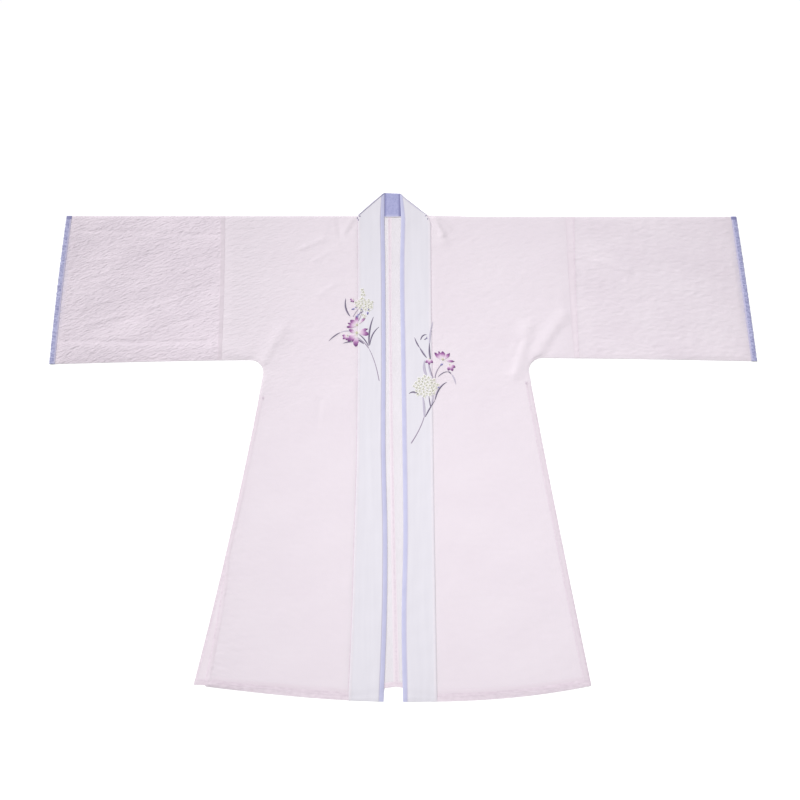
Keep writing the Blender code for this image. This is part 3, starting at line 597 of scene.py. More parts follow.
# Silk: colours from a share of 0 to 1 along or across its stitches
THREAD_WIDTH = 0.00035
THREAD_LENGTH = 0.5
THREAD_UNEVEN = 0.25
THREAD_ROUGHNESS = 0.45
THREAD_SHEEN = 0.2
THREAD_HEIGHT = 0.0002
THREAD_STRENGTH = 0.8
THREADS = (
    ("stem_thread", ((0, (0.2, 0.16, 0.23)), (1, (0.29, 0.24, 0.32)))),
    ("leaf_thread", ((0, (0.07, 0.06, 0.1)), (0.5, (0.12, 0.1, 0.16)), (1, (0.26, 0.22, 0.3)))),
    ("pale_leaf_thread",
     ((0, (0.3, 0.27, 0.35)), (0.5, (0.44, 0.41, 0.49)), (1, (0.33, 0.29, 0.39)))),
    ("petal_thread", (
        (0, (0.52, 0.53, 0.43)), (0.2, (0.61, 0.55, 0.59)), (0.44, (0.53, 0.38, 0.52)),
        (0.66, (0.3, 0.12, 0.3)), (1, (0.14, 0.045, 0.16)),
    )),
    ("floret_thread",
     ((0, (0.41, 0.41, 0.3)), (0.35, (0.58, 0.575, 0.5)), (1, (0.69, 0.675, 0.65)))),
    ("heart_thread", ((0, (0.38, 0.37, 0.24)), (1, (0.47, 0.46, 0.31)))),
    ("bud_thread", ((0, (0.09, 0.08, 0.22)), (0.6, (0.2, 0.18, 0.38)), (1, (0.4, 0.37, 0.55)))),
)

# Studio
FLOOR_COLOUR = (0.95, 0.95, 0.95)
FLOOR_ROUGHNESS = 0.9
FLOOR_REACH = 6.0
FLOOR_Z = -0.0003
KEY_ENERGY = 3.2
KEY_ANGLE_DEG = 30.0
KEY_FROM_DEG = 135.0
KEY_RISE_DEG = 40.0
PANEL_ENERGY = 8.5
PANEL_SIZE = 0.9
PANEL_PLACE = (0.09, -0.08, 1.25)
SKY_COLOUR = (1.0, 1.0, 1.0)
SKY_STRENGTH = 0.32

# Camera
CAMERA_LENS = 35.0
CAMERA_SENSOR = 36.0
CAMERA_TILT_DEG = 15.0
CAMERA_DISTANCE = 1.6468
CAMERA_AIM = (-0.0057, 0.0551)

CORNERS = ((0, 0), (0, 1), (1, 1), (1, 0))  # of a grid's cell, as steps of row and column
CELL_SIDES = (  # the step to the next cell, and the side's corners
    ((-1, 0), (0, 0), (0, 1)),
    ((1, 0), (1, 0), (1, 1)),
    ((0, -1), (0, 0), (1, 0)),
    ((0, 1), (0, 1), (1, 1)),
)


def mix(a, b, share):
    return a + (b - a) * share


def clamp(value):
    return np.clip(value, 0.0, 1.0)


def smooth_step(value):
    t = clamp(value)
    return t * t * (3 - 2 * t)


def even(start, end, step):
    """Even values from the start to the end, about a step apart."""
    count = max(round(abs(end - start) / step), 1)
    return np.linspace(start, end, count + 1)


def bowed(low, mid, top, share):
    """A curve through three values, at shares 0, a half and 1."""
    ends = low * (2 * share - 1) * (share - 1) + top * share * (2 * share - 1)
    return ends + 4 * mid * share * (1 - share)


def unit(vector):
    return vector / np.linalg.norm(vector)


def turned(x, y, degrees):
    """Places along and across a direction."""
    cos, sin = math.cos(math.radians(degrees)), math.sin(math.radians(degrees))
    return x * cos + y * sin, y * cos - x * sin


def noise_at(x, y, seed):
    x, y = np.broadcast_arrays(x, y)
    raw = [noise.noise(Vector((a, b, seed))) for a, b in zip(x.ravel(), y.ravel())]
    return np.array(raw).reshape(x.shape)


def read_table(rows, key, column, at):
    """A column of a table at key values, on a smooth curve through its rows."""
    keys = np.array([getattr(row, key) for row in rows])
    values = np.array([getattr(row, column) for row in rows])
    last = len(keys) - 1
    places = np.arange(last + 1)
    low, high = np.maximum(places - 1, 0), np.minimum(places + 1, last)
    slopes = (values[high] - values[low]) / (keys[high] - keys[low])
    at = np.clip(at, keys[0], keys[-1])
    k = np.clip(np.searchsorted(keys, at, side="right") - 1, 0, last - 1)
    span = keys[k + 1] - keys[k]
    t = (at - keys[k]) / span
    return (
        values[k] * (2 * t**3 - 3 * t**2 + 1)
        + slopes[k] * span * (t**3 - 2 * t**2 + t)
        + values[k + 1] * (3 * t**2 - 2 * t**3)
        + slopes[k + 1] * span * (t**3 - t**2)
    )


def band_edge(side, edge, y):
    x = read_table(BAND_SECTIONS, "y", f"{side.name}_{edge}", y)
    return x - side.sign * neck_inset(side, y) if edge == "outer" else x


def neck_inset(side, y):
    """How far the collar's seam bends in, just below the shoulder."""
    top = side.shoulder_y + side.neck_rise
    start = mix(armpit_point(side, ARMPIT_CORNER_DEG)[1], top, 1 - NECK_CUT_SHARE)
    return side.neck_cut * clamp((y - start) / (top - start)) ** NECK_CUT_POWER


def fillet_y(side):
    """Where the straight side ends and the armpit's curve begins."""
    return side.underarm_y - ARMPIT_RADIUS


def side_x(side, y):
    """The side's edge, flared towards the hem."""
    below = fillet_y(side) - y
    return CENTRE_X + side.sign * (CHEST_HALF + side.flare * below + side.bow * below**2)


def slit_inset(side, y):
    """How far the front's slit edge lies inside the back's."""
    share = clamp((FRONT_INSET_START_Y - y) / (FRONT_INSET_START_Y - HEM_Y))
    return side.front_inset * share**FRONT_INSET_POWER


def armpit_point(side, degrees):
    """A point on the armpit's curve: 0 on the side's edge, 90 on the underarm."""
    angle = math.radians(degrees)
    x = side_x(side, fillet_y(side)) + side.sign * ARMPIT_RADIUS * (1 - math.cos(angle))
    return x, fillet_y(side) + ARMPIT_RADIUS * math.sin(angle)


def underarm_y(side, x):
    start = armpit_point(side, 90)[0]
    reach = np.maximum((x - start) / (side.sign * side.cuff_low - start), 0.0)
    return side.underarm_y - side.underarm_droop * reach**UNDERARM_POWER


def seam_x(side, share):
    """The seam between body and sleeve, from the underarm up to the shoulder."""
    return side.sign * bowed(side.seam_low, side.seam_mid, side.seam_top, share)


def cuff_x(side, share):
    return side.sign * bowed(side.cuff_low, side.cuff_mid, side.cuff_top, share)


def hem_share(side, x):
    return np.minimum(np.abs(x - CENTRE_X) / side.hem_half, 1.0)


def hem_y(side, x):
    return HEM_Y + side.hem_rise * hem_share(side, x) ** side.hem_power


def hem_lift(side, x):
    """How far the back hem lies above the front hem."""
    return read_table(BACK_HEM_LIFTS, "across", "lift", hem_share(side, x))


def centre_back_x(y):
    share = (y - HEM_Y) / (LEFT.shoulder_y - HEM_Y)
    return mix(CENTRE_BACK_HEM_X, CENTRE_BACK_TOP_X, share)


def shoulder_point(side):
    """The outer end of the collar's fold, just above the shoulder fold."""
    top = side.shoulder_y + side.neck_rise
    return float(band_edge(side, "outer", top)), top + COLLAR_FOLD_ROOM


def shoulder_line(side, x):
    """The shoulder's fold, level out to the cuff and a little higher at the neck."""
    out = side.sign * (x - shoulder_point(side)[0]) / NECK_RISE_RUN
    return side.shoulder_y + side.neck_rise * clamp(1 - out)


def neck_y(x):
    """The seam between the back and the collar, from shoulder point to shoulder point."""
    right, left = shoulder_point(RIGHT), shoulder_point(LEFT)
    share = clamp((x - right[0]) / (left[0] - right[0]))
    return mix(right[1], left[1], share) - NECK_DIP * np.sin(math.pi * share)


def front_floor(side, x, y):
    """Underside of the front layer: on the back layer, and down on the floor past its hem."""
    back_hem = hem_y(side, x) + hem_lift(side, x)
    return FRONT_FLOOR * clamp(1 - (back_hem - y) / HEM_DROP_RUN)


def crease_height(x, y, creases):
    height = np.zeros_like(x)
    for crease in creases:
        along_x, along_y = crease.x1 - crease.x0, crease.y1 - crease.y0
        length = math.hypot(along_x, along_y)
        share = clamp(((x - crease.x0) * along_x + (y - crease.y0) * along_y) / length**2)
        apart = np.hypot(x - crease.x0 - share * along_x, y - crease.y0 - share * along_y)
        height += crease.height * np.exp(-((apart / crease.half_width) ** 2))
    return height


def crinkle_height(x, y, crinkles):
    height = np.zeros_like(x)
    for crinkle in crinkles:
        across = turned(x, y, crinkle.direction_deg)[1]
        turn = 2 * math.pi * across / crinkle.wavelength + crinkle.phase
        height += crinkle.height * (0.5 + 0.5 * np.sin(turn))
    return height


def grain_height(x, y, grains):
    height = np.zeros_like(x)
    for grain in grains:
        along, across = turned(x, y, grain.direction_deg)
        raw = noise_at(along / grain.length, across / grain.spacing, grain.seed)
        height += grain.height * np.maximum(1 - np.abs(raw) * GRAIN_SHARPNESS, 0.0)
    return height


class Layer:
    """One layer of cloth as a grid, with NaN where a row has no point at a column."""

    def __init__(self, x, y):
        self.x, self.y = x, y
        self.floor = np.zeros_like(x)
        self.thick = np.full_like(x, CLOTH)
        self.present = found = ~np.isnan(x)
        self.cells = found[:-1, :-1] & found[1:, :-1] & found[:-1, 1:] & found[1:, 1:]
        self.kinds = np.zeros(self.cells.shape, int)

    def border_fade(self, steps, open_column=None):
        """0 on the layer's border, rising to 1 some steps inside it.

        The first column (0) or the last (-1) may be left out, where the next piece goes on from it.
        """
        depth = np.zeros(self.x.shape)
        inside = self.present
        for _ in range(steps):
            padded = np.pad(inside, 1)
            if open_column is not None:
                padded[:, open_column] = padded[:, 1 if open_column == 0 else -2]
            beside = padded[:-2, 1:-1] & padded[2:, 1:-1] & padded[1:-1, :-2] & padded[1:-1, 2:]
            inside = inside & beside
            depth += inside
        return smooth_step(depth / steps)

    def set_cloth(self, rows, columns, thickness, kind):
        """Gives the points between two rows and two columns a thickness, and cells there a kind."""
        self.thick[rows[0]:rows[1] + 1, columns[0]:columns[1] + 1] = thickness
        self.kinds[max(rows[0] - 1, 0):rows[1] + 1, max(columns[0] - 1, 0):columns[1] + 1] = kind


def lay_relief(back, front, name, grain, steps, open_column):
    """Raises both layers by their creases and crinkle; main folds run on past the open column."""
    back_grain = grain_height(back.x, back.y, GRAINS[name])
    back.floor += BACK_GRAIN_SHARE * back_grain * back.border_fade(BACK_FADE_STEPS)
    folds = crease_height(front.x, front.y, MAIN_FOLDS) * front.border_fade(steps, open_column)
    relief = crease_height(front.x, front.y, CREASES[name])
    relief += crinkle_height(front.x, front.y, CRINKLES[name]) + grain
    front.floor += np.maximum(folds + relief * front.border_fade(steps), LEAST_RELIEF)


def border_edges(cells):
    """Each edge on the border of a grid's cells, as two points, with its cell."""
    padded = np.pad(cells, 1)
    edges = []
    for row, column in np.argwhere(cells):
        for step, *ends in CELL_SIDES:
            if not padded[row + 1 + step[0], column + 1 + step[1]]:
                start, end = ((row + i, column + j) for i, j in ends)
                edges.append((start, end, (row, column)))
    return edges


def add_object(name, data):
    thing = bpy.data.objects.new(name, data)
    bpy.context.scene.collection.objects.link(thing)
    return thing


class Shell:
    """Gathers the points, faces and kinds of cloth of one closed shell."""

    def __init__(self):
        self.points, self.faces, self.kinds, self.threads = [], [], [], []
        self.count = 0

    def add_points(self, points):
        """Adds points and returns their numbers."""
        points = np.asarray(points, float).reshape(-1, 3)
        self.points.append(points)
        self.count += len(points)
        return np.arange(self.count - len(points), self.count)

    def add_skin(self, layer, z):
        """One face of a layer, as a grid of point numbers."""
        ids = np.full(layer.x.shape, -1)
        ids[layer.present] = self.add_points(np.stack((layer.x, layer.y, z), -1)[layer.present])
        rows, columns = np.nonzero(layer.cells)
        self.faces += np.stack([ids[rows + i, columns + j] for i, j in CORNERS], 1).tolist()
        self.kinds += layer.kinds[layer.cells].tolist()
        return ids

    def add_face(self, corners, kind):
        self.faces.append([int(corner) for corner in corners])
        self.kinds.append(int(kind))

    def build(self, name, materials, smooth_deg=SMOOTH_DEG):
        """Makes the piece that dresses, or lies on, the node of that name."""
        mesh = bpy.data.meshes.new(f"dress_{name}")
        mesh.from_pydata(np.concatenate(self.points).tolist(), [], self.faces)
        mesh.polygons.foreach_set("material_index", self.kinds)
        if self.threads:
            corners = [corner for face in self.faces for corner in face]
            layer = mesh.uv_layers.new(name="threads")
            layer.data.foreach_set("uv", np.concatenate(self.threads)[corners].ravel())
        work = bmesh.new()
        work.from_mesh(mesh)
        bmesh.ops.recalc_face_normals(work, faces=work.faces)
        work.to_mesh(mesh)
        work.free()
        for material in materials:
            mesh.materials.append(material)
        mesh.shade_smooth()
        mesh.set_sharp_from_angle(angle=math.radians(smooth_deg))
        piece = add_object(f"dress_{name}", mesh)
        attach(piece, BODY)
        return piece


def make_folded(node, back, front, edges, materials, shift=0):
    """A closed piece of a back and a front layer that are one cloth along the front's given edges.

    The back layer has as many more columns before the front's as the shift.
    """
    shell = Shell()
    folded = set(edges) | {(end, start) for start, end in edges}
    skins, outs, counts = [], {}, {}
    for layer in (back, front):
        skins.append([shell.add_skin(layer, z) for z in (layer.floor, layer.floor + layer.thick)])
    for (floor, roof), layer, offset in zip(skins, (back, front), (shift, 0)):
        for start, end, cell in border_edges(layer.cells):
            if ((start[0], start[1] - offset), (end[0], end[1] - offset)) not in folded:
                wall = (floor[start], floor[end], roof[end], roof[start])
                shell.add_face(wall, layer.kinds[cell])
            elif layer is front:
                out = out_direction(front, start, end, cell)
                for key in (start, end):
                    outs[key] = outs.get(key, 0) + out
                    counts[key] = counts.get(key, 0) + 1
    (back_floor, back_roof), (lower, upper) = skins
    rounds = {}
    for key, out in outs.items():
        middle = (front.floor[key] + front.thick[key]) / 2
        arc = shell.add_points(fold_points(front.x[key], front.y[key], middle, unit(out)))
        rounds[key] = [back_floor[key[0], key[1] + shift], *arc, upper[key]]
    for start, end in edges:
        inner = [back_roof[row, column + shift] for row, column in (start, end)]
        a, b = rounds[start], rounds[end]
        for k in range(FOLD_STEPS):
            shell.add_face((a[k], b[k], b[k + 1], a[k + 1]), SHEER)
        shell.add_face((*inner, lower[end], lower[start]), SHEER)
    for key, count in counts.items():
        if count == 1:
            shell.add_face((*rounds[key], lower[key], back_roof[key[0], key[1] + shift]), SHEER)
    piece = shell.build(node, materials)
    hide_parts(node)
    return piece


def out_direction(layer, start, end, cell):
    """The direction out of the cloth across an edge, in the plan."""
    row, column = cell
    corners = (slice(row, row + 2), slice(column, column + 2))
    middle = np.array((layer.x[corners].mean(), layer.y[corners].mean()))
    a, b = (np.array((layer.x[key], layer.y[key])) for key in (start, end))
    across = unit(np.array((b[1] - a[1], a[0] - b[0])))
    return across if across @ (a - middle) >= 0 else -across


def fold_points(x, y, middle, out):
    """Points of a fold's outer arc, from under the back layer to the top of the front."""
    points = []
    for k in range(1, FOLD_STEPS):
        angle = math.pi * k / FOLD_STEPS
        bulge = out * FOLD_BULGE * math.sin(angle)
        points.append((x + bulge[0], y + bulge[1], middle * (1 - math.cos(angle))))
    return points


def row_edges(row, start, end):
    return [((row, column), (row, column + 1)) for column in range(start, end)]


class BodyGrid:
    """Rows and columns of one half of the body, shared by its front and its back.

    Columns run from the collar's seam to the side and on to the sleeve seam. The back has more
    before them, from the centre-back seam. Rows run from the hem up to the shoulder.
    """

    def __init__(self, side):
        self.side = side
        slit, top = side.slit_top_y - HEM_Y, fillet_y(side) - HEM_Y
        slit_rises = even(HEM_LINES[-1], slit, BODY_ROW_STEP)
        chest_rises = even(slit, top, BODY_ROW_STEP)
        self.rises = np.concatenate((HEM_LINES, slit_rises[1:], chest_rises[1:]))
        self.slit_row = len(HEM_LINES) + len(slit_rises) - 2
        self.fillet_row = len(self.rises) - 1
        self.corner_row = self.fillet_row + ARMPIT_STEPS
        self.corner_y = armpit_point(side, ARMPIT_CORNER_DEG)[1]
        self.arm_shares = even(0, 1, BODY_ROW_STEP / (side.shoulder_y - self.corner_y))
        self.last_row = self.corner_row + len(self.arm_shares) - 1
        seam_shares = even(COLLAR_SEAM_LINE / TORSO_WIDTH, 1, BODY_COLUMN_STEP / TORSO_WIDTH)
        self.torso_shares = np.insert(seam_shares, 0, 0.0)
        self.back_shares = even(0, 1, BODY_COLUMN_STEP / BACK_WIDTH)
        self.arm_column_shares = even(0, 1, BODY_COLUMN_STEP / ARM_WIDTH)
        self.side_column = len(self.torso_shares) + len(HEM_LINES) - 2
        self.back_columns = len(CENTRE_SEAM_LINES) + len(self.back_shares) - 1

    def torso_y(self, row, x, is_back):
        hem, top = hem_y(self.side, x), fillet_y(self.side)
        rise = self.rises[row]
        y = hem + rise * (top - hem) / (top - HEM_Y)
        if is_back:
            y = y + hem_lift(self.side, x) * max(1 - rise / LIFT_BLEND, 0.0)
        return y

    def side_end(self, row, is_back):
        """The point of a torso row on the body's side."""
        side = self.side
        if row > self.fillet_row:
            steps = min(row, self.corner_row) - self.fillet_row
            return armpit_point(side, ARMPIT_CORNER_DEG * steps / ARMPIT_STEPS)
        y = self.torso_y(row, CENTRE_X + side.sign * side.hem_half, is_back)
        inset = 0.0 if is_back else slit_inset(side, y)
        return side_x(side, y) - side.sign * inset, y

    def arm_share(self, row):
        return self.arm_shares[max(row - self.corner_row, 0)]

    def row_height(self, row, x, is_back):
        if row <= self.fillet_row:
            return self.torso_y(row, x, is_back)
        if row <= self.corner_row:
            return np.full_like(x, self.side_end(row, is_back)[1])
        return mix(self.corner_y, shoulder_line(self.side, x), self.arm_share(row))

    def row_points(self, row, is_back):
        side = self.side
        end_x, end_y = self.side_end(row, is_back)
        inner_y = self.row_height(row, np.array([shoulder_point(side)[0]]), is_back)
        inner_x = band_edge(side, "outer", inner_y)[0] + side.sign * GAP
        hem_x = end_x - side.sign * HEM_LINES[::-1]
        x = np.concatenate((mix(inner_x, hem_x[0], self.torso_shares), hem_x[1:]))
        y = self.row_height(row, x, is_back)
        if row <= self.corner_row:
            x[-1], y[-1] = end_x, end_y
        parts = [(x, y), self.arm_points(row)]
        if is_back:
            parts.insert(0, self.back_points(row, inner_x))
        return np.concatenate(parts, 1)

    def back_points(self, row, inner_x):
        """Columns of the back alone: at the centre-back seam, its allowance, and evenly on."""
        side = self.side
        seam_y = self.row_height(row, np.array([CENTRE_X]), True)[0]
        share = (seam_y - HEM_Y) / (side.shoulder_y - HEM_Y)
        lines = GAP / 2 + bowed(*CENTRE_ALLOWANCES[side.name], share) * CENTRE_SEAM_LINES
        seam = centre_back_x(seam_y) + side.sign * np.append(lines, lines[-1] + SEAM_STEP)
        x = np.append(seam, mix(seam[-1], inner_x, self.back_shares)[1:-1])
        if row > self.corner_row:
            return x, mix(self.corner_y, neck_y(x) - GAP, self.arm_share(row))
        return x, self.row_height(row, x, True)

    def arm_points(self, row):
        """Columns past the side, from the armpit to the seam with the sleeve."""
        side = self.side
        share = self.arm_share(row)
        steps = np.arange(1, ARMPIT_STEPS + 1) / ARMPIT_STEPS
        curve = np.array([armpit_point(side, mix(ARMPIT_CORNER_DEG, 90, step)) for step in steps])
        seam = seam_x(side, share) - side.sign * GAP / 2
        x = np.append(curve[:, 0], mix(curve[-1, 0], seam, self.arm_column_shares)[1:])
        if row < self.corner_row:
            return np.full_like(x, np.nan), np.full_like(x, np.nan)
        low_y = underarm_y(side, x)
        low_y[:ARMPIT_STEPS] = curve[:, 1]
        return x, mix(low_y, side.shoulder_y, share)

    def layer(self, is_back):
        rows = [self.row_points(row, is_back) for row in range(self.last_row + 1)]
        layer = Layer(*np.stack(rows, 1))
        side_column = self.side_column + (self.back_columns if is_back else 0)
        hem = len(HEM_LINES) - 2
        if is_back:
            layer.kinds[:, :self.back_columns + 2] = BACK
            seam_columns = (0, len(CENTRE_SEAM_LINES) - 1)
            layer.set_cloth((0, self.last_row), seam_columns, ALLOWANCE_CLOTH, ALLOWANCE)
            layer.kinds[:self.slit_row, 0] = HEM
            layer.kinds[self.slit_row:, 0] = LINE
        else:
            # Beside the collar's seam: partly the seam's own line, partly painted shade of its
            # ditch; on the left it is left out below the slit's top
            layer.kinds[:, 0] = LINE
            if self.side is LEFT:
                layer.kinds[:self.slit_row, 0] = SHEER
            layer.kinds[hem + 1, :side_column - hem] = HEM
            layer.kinds[hem + 2:hem + 4, :side_column - hem] = ALLOWANCE
        slit_start = side_column - hem - 1
        layer.set_cloth((0, self.slit_row), (slit_start + 1, side_column), SLIT_CLOTH, ALLOWANCE)
        kinds = SLIT_KINDS[self.side.name, "back" if is_back else "front"]
        layer.kinds[:self.slit_row, slit_start:side_column] = kinds
        if is_back and self.side.front_inset > HEM_WIDTH:
            layer.kinds[:self.slit_row + 1, slit_start - 2:slit_start] = ALLOWANCE
        layer.set_cloth((0, hem), (0, side_column), HEM_CLOTH, HEM)
        layer.kinds[hem, :side_column - hem] = LINE
        return layer


def make_body(side, grid, materials):
    """Half of the body, its front and back cut in one."""
    back, front = grid.layer(True), grid.layer(False)
    low = smooth_step((front.y - BODY_GRAIN_LOW_Y) / BODY_GRAIN_RUN)
    grain = grain_height(front.x, front.y, GRAINS["body"]) * mix(BODY_GRAIN_LOW, 1.0, low)
    if side is RIGHT:
        near = smooth_step(1 - (front.x + side.seam_mid) / SLEEVE_GRAIN_FADE)
        grain += grain_height(front.x, front.y, GRAINS["sleeve_right"]) * near
    lay_relief(back, front, "body", grain, BODY_FADE_STEPS, -1)
    front.floor += front_floor(side, front.x, front.y)
    last_column = front.x.shape[1] - 1
    edges = row_edges(grid.last_row, 0, last_column)
    for row in range(grid.slit_row, grid.corner_row):
        edges.append(((row, grid.side_column), (row + 1, grid.side_column)))
    edges += row_edges(grid.corner_row, grid.side_column, last_column)
    return make_folded(f"body_{side.name}", back, front, edges, materials, grid.back_columns)


def tube_shares(side, row_step):
    return even(0, 1, row_step / (side.shoulder_y - side.underarm_y))[:, None]


def tube_layer(side, shares, x, is_back):
    """One layer of a flat tube across the arm, with rows at shares of the way up."""
    y = mix(underarm_y(side, x), side.shoulder_y, shares)
    if is_back:
        reach = (np.abs(x) - side.seam_mid) / (side.cuff_mid - side.seam_mid)
        x = x - side.sign * CUFF_BACK_BOW * 4 * shares * (1 - shares) * smooth_step(reach)
    return Layer(x, y)


def tube_edges(layer):
    last_row, last_column = layer.x.shape[0] - 1, layer.x.shape[1] - 1
    return row_edges(0, 0, last_column) + row_edges(last_row, 0, last_column)


def make_sleeve(side, materials):
    name = f"sleeve_{side.name}"
    allowances = SLEEVE_ALLOWANCES[side.name]
    length = side.cuff_mid - side.seam_mid
    lines = even(0, 1, SLEEVE_COLUMN_STEP / length)
    lines = lines[lines * length >= allowances[2] + SEAM_STEP]
    shares = tube_shares(side, SLEEVE_ROW_STEP)
    start = seam_x(side, shares) + side.sign * GAP / 2
    end = cuff_x(side, shares) - side.sign * (CUFF_WIDTH + GAP)
    seam_end = start + side.sign * bowed(*allowances, shares)
    x = np.hstack((mix(start, seam_end, SLEEVE_SEAM_LINES), mix(start, end, lines)))
    last_seam_column = len(SLEEVE_SEAM_LINES) - 2
    layers = []
    for is_back in (True, False):
        layer = tube_layer(side, shares, x, is_back)
        layer.set_cloth((0, len(shares)), (0, last_seam_column), ALLOWANCE_CLOTH, ALLOWANCE)
        layer.kinds[:, last_seam_column - 1] = LINE
        layers.append(layer)
    back, front = layers
    grain = grain_height(front.x, front.y, GRAINS[name])
    lay_relief(back, front, name, grain, SLEEVE_FADE_STEPS, 0)
    front.floor += FRONT_FLOOR
    return make_folded(name, back, front, tube_edges(front), materials)


def make_cuff(side, materials):
    """The trim round the sleeve's mouth, drawn up in small puckers."""
    lines = np.linspace(0, 1, CUFF_COLUMNS + 1)
    crown = np.sqrt(np.sin(math.pi * np.clip(lines, CUFF_EDGE_SHARE, 1 - CUFF_EDGE_SHARE)))
    shares = tube_shares(side, CUFF_ROW_STEP)
    edge = cuff_x(side, shares)
    x = mix(edge - side.sign * CUFF_WIDTH, edge, lines)
    layers = []
    for is_back in (True, False):
        layer = tube_layer(side, shares, x, is_back)
        layer.kinds[:, :CUFF_PALE_COLUMNS] = CUFF_EDGE
        layer.kinds[-CUFF_PAINTED_SHADE_ROWS - 1:, :] = CUFF_PAINTED_SHADE
        layer.thick[:] = TRIM_CLOTH * crown
        y = layer.y[:, :1]
        pucker = noise_at(y / PUCKER_SPACING, PUCKER_BACK_PLACE * is_back, PUCKER_SEED)
        from_end = np.minimum(y - layer.y.min(), layer.y.max() - y)
        pucker = pucker * smooth_step(from_end / PUCKER_FADE)
        layer.floor += PUCKER_HEIGHT * np.maximum(pucker, 0) * crown
        layer.x = layer.x + side.sign * PUCKER_REACH * pucker * lines
        if not is_back:
            layer.floor += FRONT_FLOOR + CUFF_LIFT
        layers.append(layer)
    return make_folded(f"cuff_{side.name}", *layers, tube_edges(layers[1]), materials)


class Station:
    """A line across the collar strip, from its outer (seam) edge to its inner (free) edge."""

    def __init__(self, outer, inner, turn=0.0, out=(0.0, 0.0), bow=0.0):
        self.outer, self.inner, self.out = (np.array(pair, float) for pair in (outer, inner, out))
        self.turn = turn
        self.bow = bow

    def place(self, profile):
        """Points of a profile: across by share and shift, and up from the lining's side."""
        share, shift, height, relief = profile.T
        share = share + shift / np.linalg.norm(self.inner - self.outer)
        flat = self.outer + (self.inner - self.outer) * share[:, None]
        flat += self.out * (4 * self.bow * share * (1 - share))[:, None]
        x, y = flat.T
        if self.turn == 0.0:
            rise = BAND_RELIEF * noise_at(x / BAND_RELIEF_SIZE, y / BAND_RELIEF_SIZE, BAND_SEED)
            thin = mix(HEM_THIN_SHARE, 1.0, smooth_step((y - HEM_Y) / HEM_THIN_RUN))
            return np.stack((x, y, band_floor(x, y) + height * thin + relief * rise), 1)
        reach = height + GAP / 2
        bulge = reach * math.sin(self.turn)
        z = BAND_HEIGHT + GAP / 2 + reach * math.cos(self.turn)
        return np.stack((x + self.out[0] * bulge, y + self.out[1] * bulge, z), 1)


def band_floor(x, y):
    """Underside of the front strips, which climb onto the part behind the neck."""
    on_cloth = np.where(x > CENTRE_X, front_floor(LEFT, x, y), front_floor(RIGHT, x, y))
    climb = (y - COLLAR_RISE_START_Y) / (COLLAR_RISE_END_Y - COLLAR_RISE_START_Y)
    return on_cloth + (BAND_HEIGHT + GAP - FRONT_FLOOR) * smooth_step(climb)


def front_stations(side, grid):
    """From the hem up to just before the collar's fold."""
    edges = ("outer", "inner")
    foot = [band_edge(side, edge, HEM_Y) for edge in edges]
    heights = [[grid.torso_y(row, x, False) for x in foot] for row in range(len(HEM_LINES))]
    above_hem = heights[-1]
    for share in even(0, 1, COLLAR_STEP / (COLLAR_RISE_END_Y - HEM_Y))[1:]:
        heights.append([mix(y, COLLAR_RISE_END_Y, share) for y in above_hem])
    stations = []
    for pair in heights:
        stations.append(Station(*((band_edge(side, edge, y), y) for edge, y in zip(edges, pair))))
    fold, before = fold_stations(side)[0], stations[-1]
    for share in np.append(np.linspace(0, 1, COLLAR_TOP_STEPS + 1)[1:-1], COLLAR_FOLD_LINE):
        outer, inner = mix(before.outer, fold.outer, share), mix(before.inner, fold.inner, share)
        stations.append(Station(outer, inner, out=fold.out, bow=fold.bow * share**2))
    return stations


def fold_line(side):
    """The collar's fold at one shoulder: its ends, and the directions along it and out of it."""
    outer, inner = np.array(shoulder_point(side)), np.array((side.fold_tip_x, side.fold_tip_y))
    along = unit(inner - outer)
    return outer, inner, along, np.array((along[1], -along[0])) * side.sign


def fold_stations(side):
    """Round the collar's fold at one shoulder, from the front strip to the part behind."""
    outer, inner, _, out = fold_line(side)
    turns = [math.pi * k / FOLD_STEPS for k in range(FOLD_STEPS + 1)]
    return [Station(outer, inner, turn, out, COLLAR_FOLD_BOWS[side.name]) for turn in turns]


def neck_stations():
    """Behind the neck, from the right fold to the left one."""
    right, left = fold_line(RIGHT), fold_line(LEFT)
    stations = []
    for share in np.linspace(0, 1, NECK_STATIONS + 1)[1:-1]:
        x = mix(right[0][0], left[0][0], share)
        stations.append(Station((x, neck_y(x)), mix(right[1], left[1], share), math.pi))
    return stations


def shares_inside(steps):
    return [k / steps for k in range(1, steps)]


def band_profile():
    """Across the band: the padded outer edge, the flat face and the seam with the lilac strip.

    Each row is a share of the width, a shift in metres, a height, a share of the relief, and the
    kind of the face after it.
    """
    outer_top = BAND_HEIGHT - EDGE_ROUND
    # The outer wall and the padded edge take the edge cloth, a painted highlight
    rows = [(0, 0, height, 0, EDGE) for height in (0, outer_top / 2, outer_top)]
    for share in shares_inside(PIPE_STEPS) + [1]:
        height = BAND_HEIGHT + PIPE_HEIGHT * math.sin(math.pi * share)
        rows.append((0, PIPE_WIDTH * share, height, EDGE_RELIEF, EDGE if share < 1 else FACE))
    inner = -EDGE_STRIP - GAP
    for share in shares_inside(BAND_FACE_STEPS):
        rows.append((share, mix(PIPE_WIDTH, inner, share), BAND_HEIGHT, 1, FACE))
    # Lines of painted shade beside the seam with the strip
    for line in BAND_SEAM_LINES:
        rows.append((1, inner - line, BAND_HEIGHT, EDGE_RELIEF, SHADE))
    return rows + [
        (1, inner, BAND_HEIGHT - EDGE_ROUND, 0, SHADE),
        (1, inner, BAND_UNDERSIDE, 0, FACE),
        (0, TURNED_EDGE, BAND_UNDERSIDE, 0, FACE),
        (0, TURNED_EDGE, 0, 0, EDGE),
    ]


